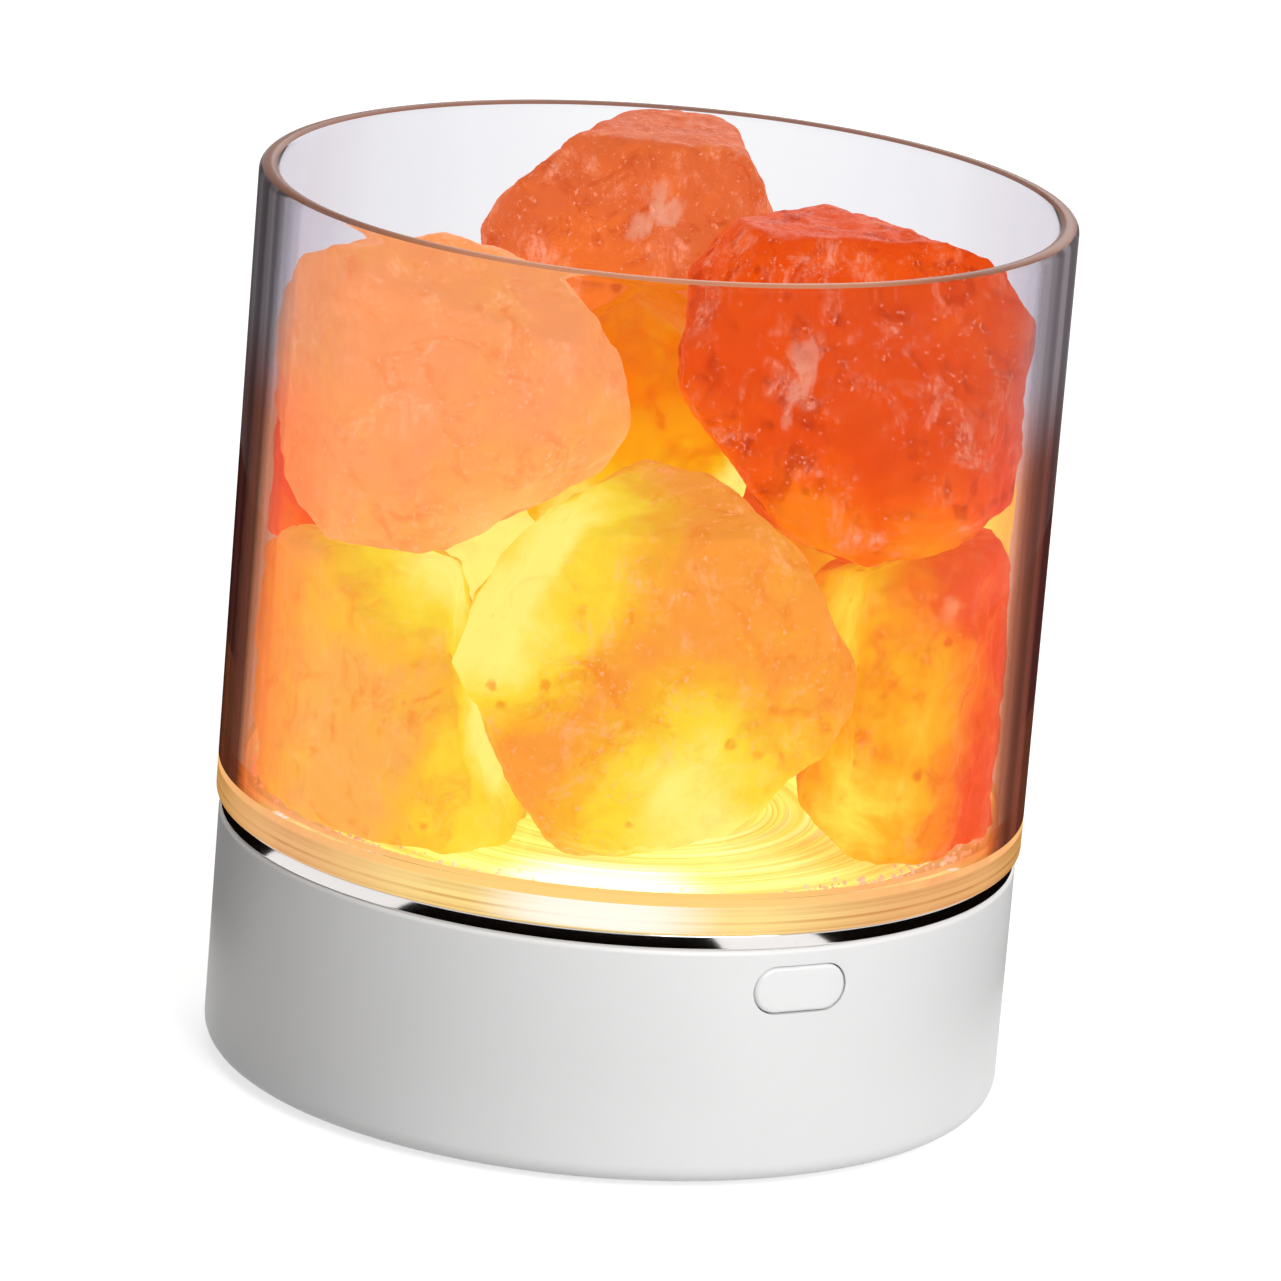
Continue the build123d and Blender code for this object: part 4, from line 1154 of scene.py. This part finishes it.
class BuildBase(bpy.types.Operator):
    """White housing with its deck, the button's opening and the charging socket's opening"""

    bl_idname = "salt_lamp.base"
    bl_label = "Base housing"

    def execute(self, context):
        sizes, colours = context.scene.lamp_sizes, context.scene.lamp_colours
        radius, bottom, deck = BASE_HIGH.x, BASE_LOW.z, BASE_HIGH.z
        cavity, under = radius - sizes.base_wall, deck - sizes.deck_thickness
        lip, groove = RING_HIGH.x - 1.35 * MM, deck - 0.75 * MM
        inner_lip = lip - 0.9 * MM
        corners = [
            (cavity, bottom, 0),
            (radius, bottom, sizes.base_bottom_rounding),
            (radius, deck, sizes.base_top_rounding),
            (lip, deck, 0),
            (lip, groove, 0),
            (inner_lip, groove, 0),
            (inner_lip, deck, 0),
            (sizes.opening_radius, deck, 0),
            (sizes.opening_radius, under, 0),
            (cavity, under, 0),
        ]
        base = lathe("base_housing", rounded(corners, True), True, 288)
        gaps = 2 * sizes.button_gap
        opening = (sizes.button_width + gaps, sizes.button_height + gaps)
        inside, outside = cavity - 3 * MM, radius + MM
        cut_pill(base, opening, BUTTON_LEVEL, (-outside, -inside))
        cut_pill(base, SOCKET_OPENING, SOCKET_LEVEL, (inside, outside))
        look = plastic("satin_white", colours.housing, 0.03, 0.42)
        placed(base, "root", "white_housing", [look], "base_shell")
        return {"FINISHED"}


class BuildButton(bpy.types.Operator):
    """Pill-shaped push button, flush with the housing, with the plate behind it"""

    bl_idname = "salt_lamp.button"
    bl_label = "Push button"

    def execute(self, context):
        sizes, colours = context.scene.lamp_sizes, context.scene.lamp_colours
        width, height, rounding = sizes.button_width, sizes.button_height, sizes.button_rounding

        def ring(inset, depth):
            """The button's outline on the housing's curve, moved in and back."""
            return [
                (x, -math.sqrt(BUTTON_FRONT**2 - x**2) + depth, BUTTON_LEVEL + z)
                for x, z in pill(width - 2 * inset, height - 2 * inset)
            ]

        rings = []
        for share in (0.98, 0.8, 0.6, 0.4, 0.2):
            rings.append(ring(rounding + share * (height / 2 - rounding), 0))
        for step in range(ARC_STEPS + 1):
            angle = math.pi / 2 * step / ARC_STEPS
            inset = rounding * (1 - math.sin(angle))
            rings.append(ring(inset, rounding * (1 - math.cos(angle))))
        rings.append([(x, -PLATE_FRONT, BUTTON_LEVEL + z) for x, z in pill(width, height)])
        verts, faces = loft(rings)
        low, high = BUTTON_LEVEL - PLATE_BELOW, BUTTON_LEVEL + PLATE_ABOVE
        corners = ((-PLATE_SIDE, low), (PLATE_SIDE, low), (PLATE_SIDE, high), (-PLATE_SIDE, high))
        sides = (-PLATE_FRONT, -PLATE_FRONT + PLATE_THICKNESS)
        plate_verts, plate_faces = loft([[(x, y, z) for x, z in corners] for y in sides])
        faces += [[len(verts) + at for at in face] for face in plate_faces]
        button = finished("push_button", verts + plate_verts, faces)
        look = plastic("button_white", colours.button, 0.02, 0.36)
        placed(button, "button", "white_button", [look], "button_cap")
        return {"FINISHED"}


class BuildSalt(bpy.types.Operator):
    """Fourteen lumps of rock salt, lit through from below"""

    bl_idname = "salt_lamp.salt"
    bl_label = "Salt lumps"

    def execute(self, context):
        noise.seed_set(STONE_NOISE_SEED)
        for seed, (title, kind, frost, swell, *leaks) in enumerate(STONES, 1):
            node = f"salt_stone_{title}"
            stone = broken_stone(node, context.scene.lamp_sizes, swell, seed)
            look = salt_look(f"{stone.name}_look", kind, frost, seed, leaks, FLAWS.get(title))
            placed(stone, "root", SALT_KINDS[kind][0], [look], node)
        return {"FINISHED"}


class BuildCrumbs(bpy.types.Operator):
    """Small grains of salt that have fallen to the cup's floor, mostly along its wall"""

    bl_idname = "salt_lamp.crumbs"
    bl_label = "Salt crumbs"

    def execute(self, context):
        sizes = context.scene.lamp_sizes
        floor, room = CUP_LOW.z + sizes.cup_floor, CUP_HIGH.x - sizes.cup_wall - 0.9 * MM
        luck = random.Random(20)
        shaping = bmesh.new()
        for _ in range(sizes.crumb_count):
            size = luck.uniform(0.1, 0.3) * MM
            reach = room - size - abs(luck.gauss(0, 1.4)) * MM
            drift = luck.choice(CRUMB_DRIFTS)
            angle = math.radians(drift + luck.gauss(0, 18))
            middle = Vector((reach * math.cos(angle), reach * math.sin(angle), floor + size * 0.8))
            made = bmesh.ops.create_icosphere(shaping, subdivisions=1, radius=size)["verts"]
            for vert in made:
                vert.co = vert.co * luck.uniform(0.7, 1.15)
                vert.co.z = max(vert.co.z, -0.78 * size)
                vert.co += middle
        bmesh.ops.recalc_face_normals(shaping, faces=shaping.faces)
        mesh = bpy.data.meshes.new("salt_crumbs")
        shaping.to_mesh(mesh)
        shaping.free()
        smooth(mesh, 20)
        look = salt_look("salt_crumbs_look", "grains", 0.9, CRUMB_SEED, CRUMB_LEAKS)
        placed(added("salt_crumbs", mesh), "root", SALT_KINDS["grains"][0], [look])
        return {"FINISHED"}


# Pieces that keep their CAD shape. For each material of them: how it is made, its values in the
# order that plastic and metal take them, and the CAD nodes that it dresses
INNER_LOOKS = {
    "cover_white": (
        plastic, ("e4e4e2", 0.05, 0.5), ("bottom_cover", "reflector", "switch_plunger")
    ),
    "grey_rubber": (plastic, ("8f8f8f", 0.2, 0.75, 1500.0, 0.02 * MM), ("rubber_feet",)),
    "black_plastic": (
        plastic, ("1b1b1c", 0.3, 0.5), ("usb_insert", "board_parts", "tact_switch")
    ),
    "board_green": (plastic, ("1d5a35", 0.35, 0.35, 800.0), ("control_board", "switch_board")),
    "board_white": (plastic, ("e9ebea", 0.08, 0.35, 800.0), ("led_board",)),
    "foam": (plastic, ("3a3a3c", 0.4, 0.9, 900.0, 0.05 * MM), ("battery_pad",)),
    "lead_red": (
        plastic, ("a33a2e", 0.1, 0.45), ("led_leads", "battery_leads", "switch_leads")
    ),
    "phosphor": (plastic, ("f0c23a", 0.1, 0.5), ("led_chips",)),
    "steel": (
        metal, ("b9babd", 0.3, 0.25), ("cover_screws", "led_board_screws", "control_board_screws")
    ),
    "socket_steel": (metal, ("c4c4c6", 0.2, 0.2), ("usb_socket",)),
    "battery_foil": (metal, ("b5b8bb", 0.25, 0.35), ("battery_cell",)),
}


class DressInside(bpy.types.Operator):
    """Materials for the CAD pieces that keep their own shape, inside and under the base"""

    bl_idname = "salt_lamp.inside"
    bl_label = "Inner pieces"

    def execute(self, context):
        # The cup's gasket takes the lit floor's glow: painted light of the lamp that leaks there
        looks = {"cup_gasket": lit_floor_edge()}
        for name, (maker, values, nodes) in INNER_LOOKS.items():
            looks |= dict.fromkeys(nodes, maker(name, *values))
        for node, look in looks.items():
            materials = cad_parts[node].data.materials
            materials.clear()
            materials.append(look)
        return {"FINISHED"}


OPERATORS = (
    BuildStage,
    BuildCup,
    BuildRing,
    BuildWindow,
    BuildBase,
    BuildButton,
    BuildSalt,
    BuildCrumbs,
    DressInside,
)


class SaltLampPanel(bpy.types.Panel):
    """Lists the lamp's sizes, colours and pieces"""

    bl_idname = "VIEW3D_PT_salt_lamp"
    bl_label = "Salt crystal lamp"
    bl_space_type = "VIEW_3D"
    bl_region_type = "UI"
    bl_category = "Salt Lamp"

    def draw(self, context):
        layout = self.layout
        for group in (context.scene.lamp_sizes, context.scene.lamp_colours):
            box = layout.box()
            for name in group.bl_rna.properties.keys():
                if name not in ("rna_type", "name"):
                    box.prop(group, name)
        for operator in OPERATORS:
            layout.operator(operator.bl_idname)


CLASSES = (LampSizes, LampColours, *OPERATORS, SaltLampPanel)


def register():
    for made in CLASSES:
        bpy.utils.register_class(made)
    bpy.types.Scene.lamp_sizes = PointerProperty(type=LampSizes)
    bpy.types.Scene.lamp_colours = PointerProperty(type=LampColours)


def unregister():
    del bpy.types.Scene.lamp_colours
    del bpy.types.Scene.lamp_sizes
    for made in reversed(CLASSES):
        bpy.utils.unregister_class(made)


def main():
    """Register the add-on, build the shared groups and build every piece in order."""
    register()
    build_moulded_grain()
    build_worn_metal()
    build_rock_salt()
    build_light_through_salt()
    for operator in OPERATORS:
        section, name = operator.bl_idname.split(".")
        getattr(getattr(bpy.ops, section), name)()


if __name__ == "__main__":
    main()
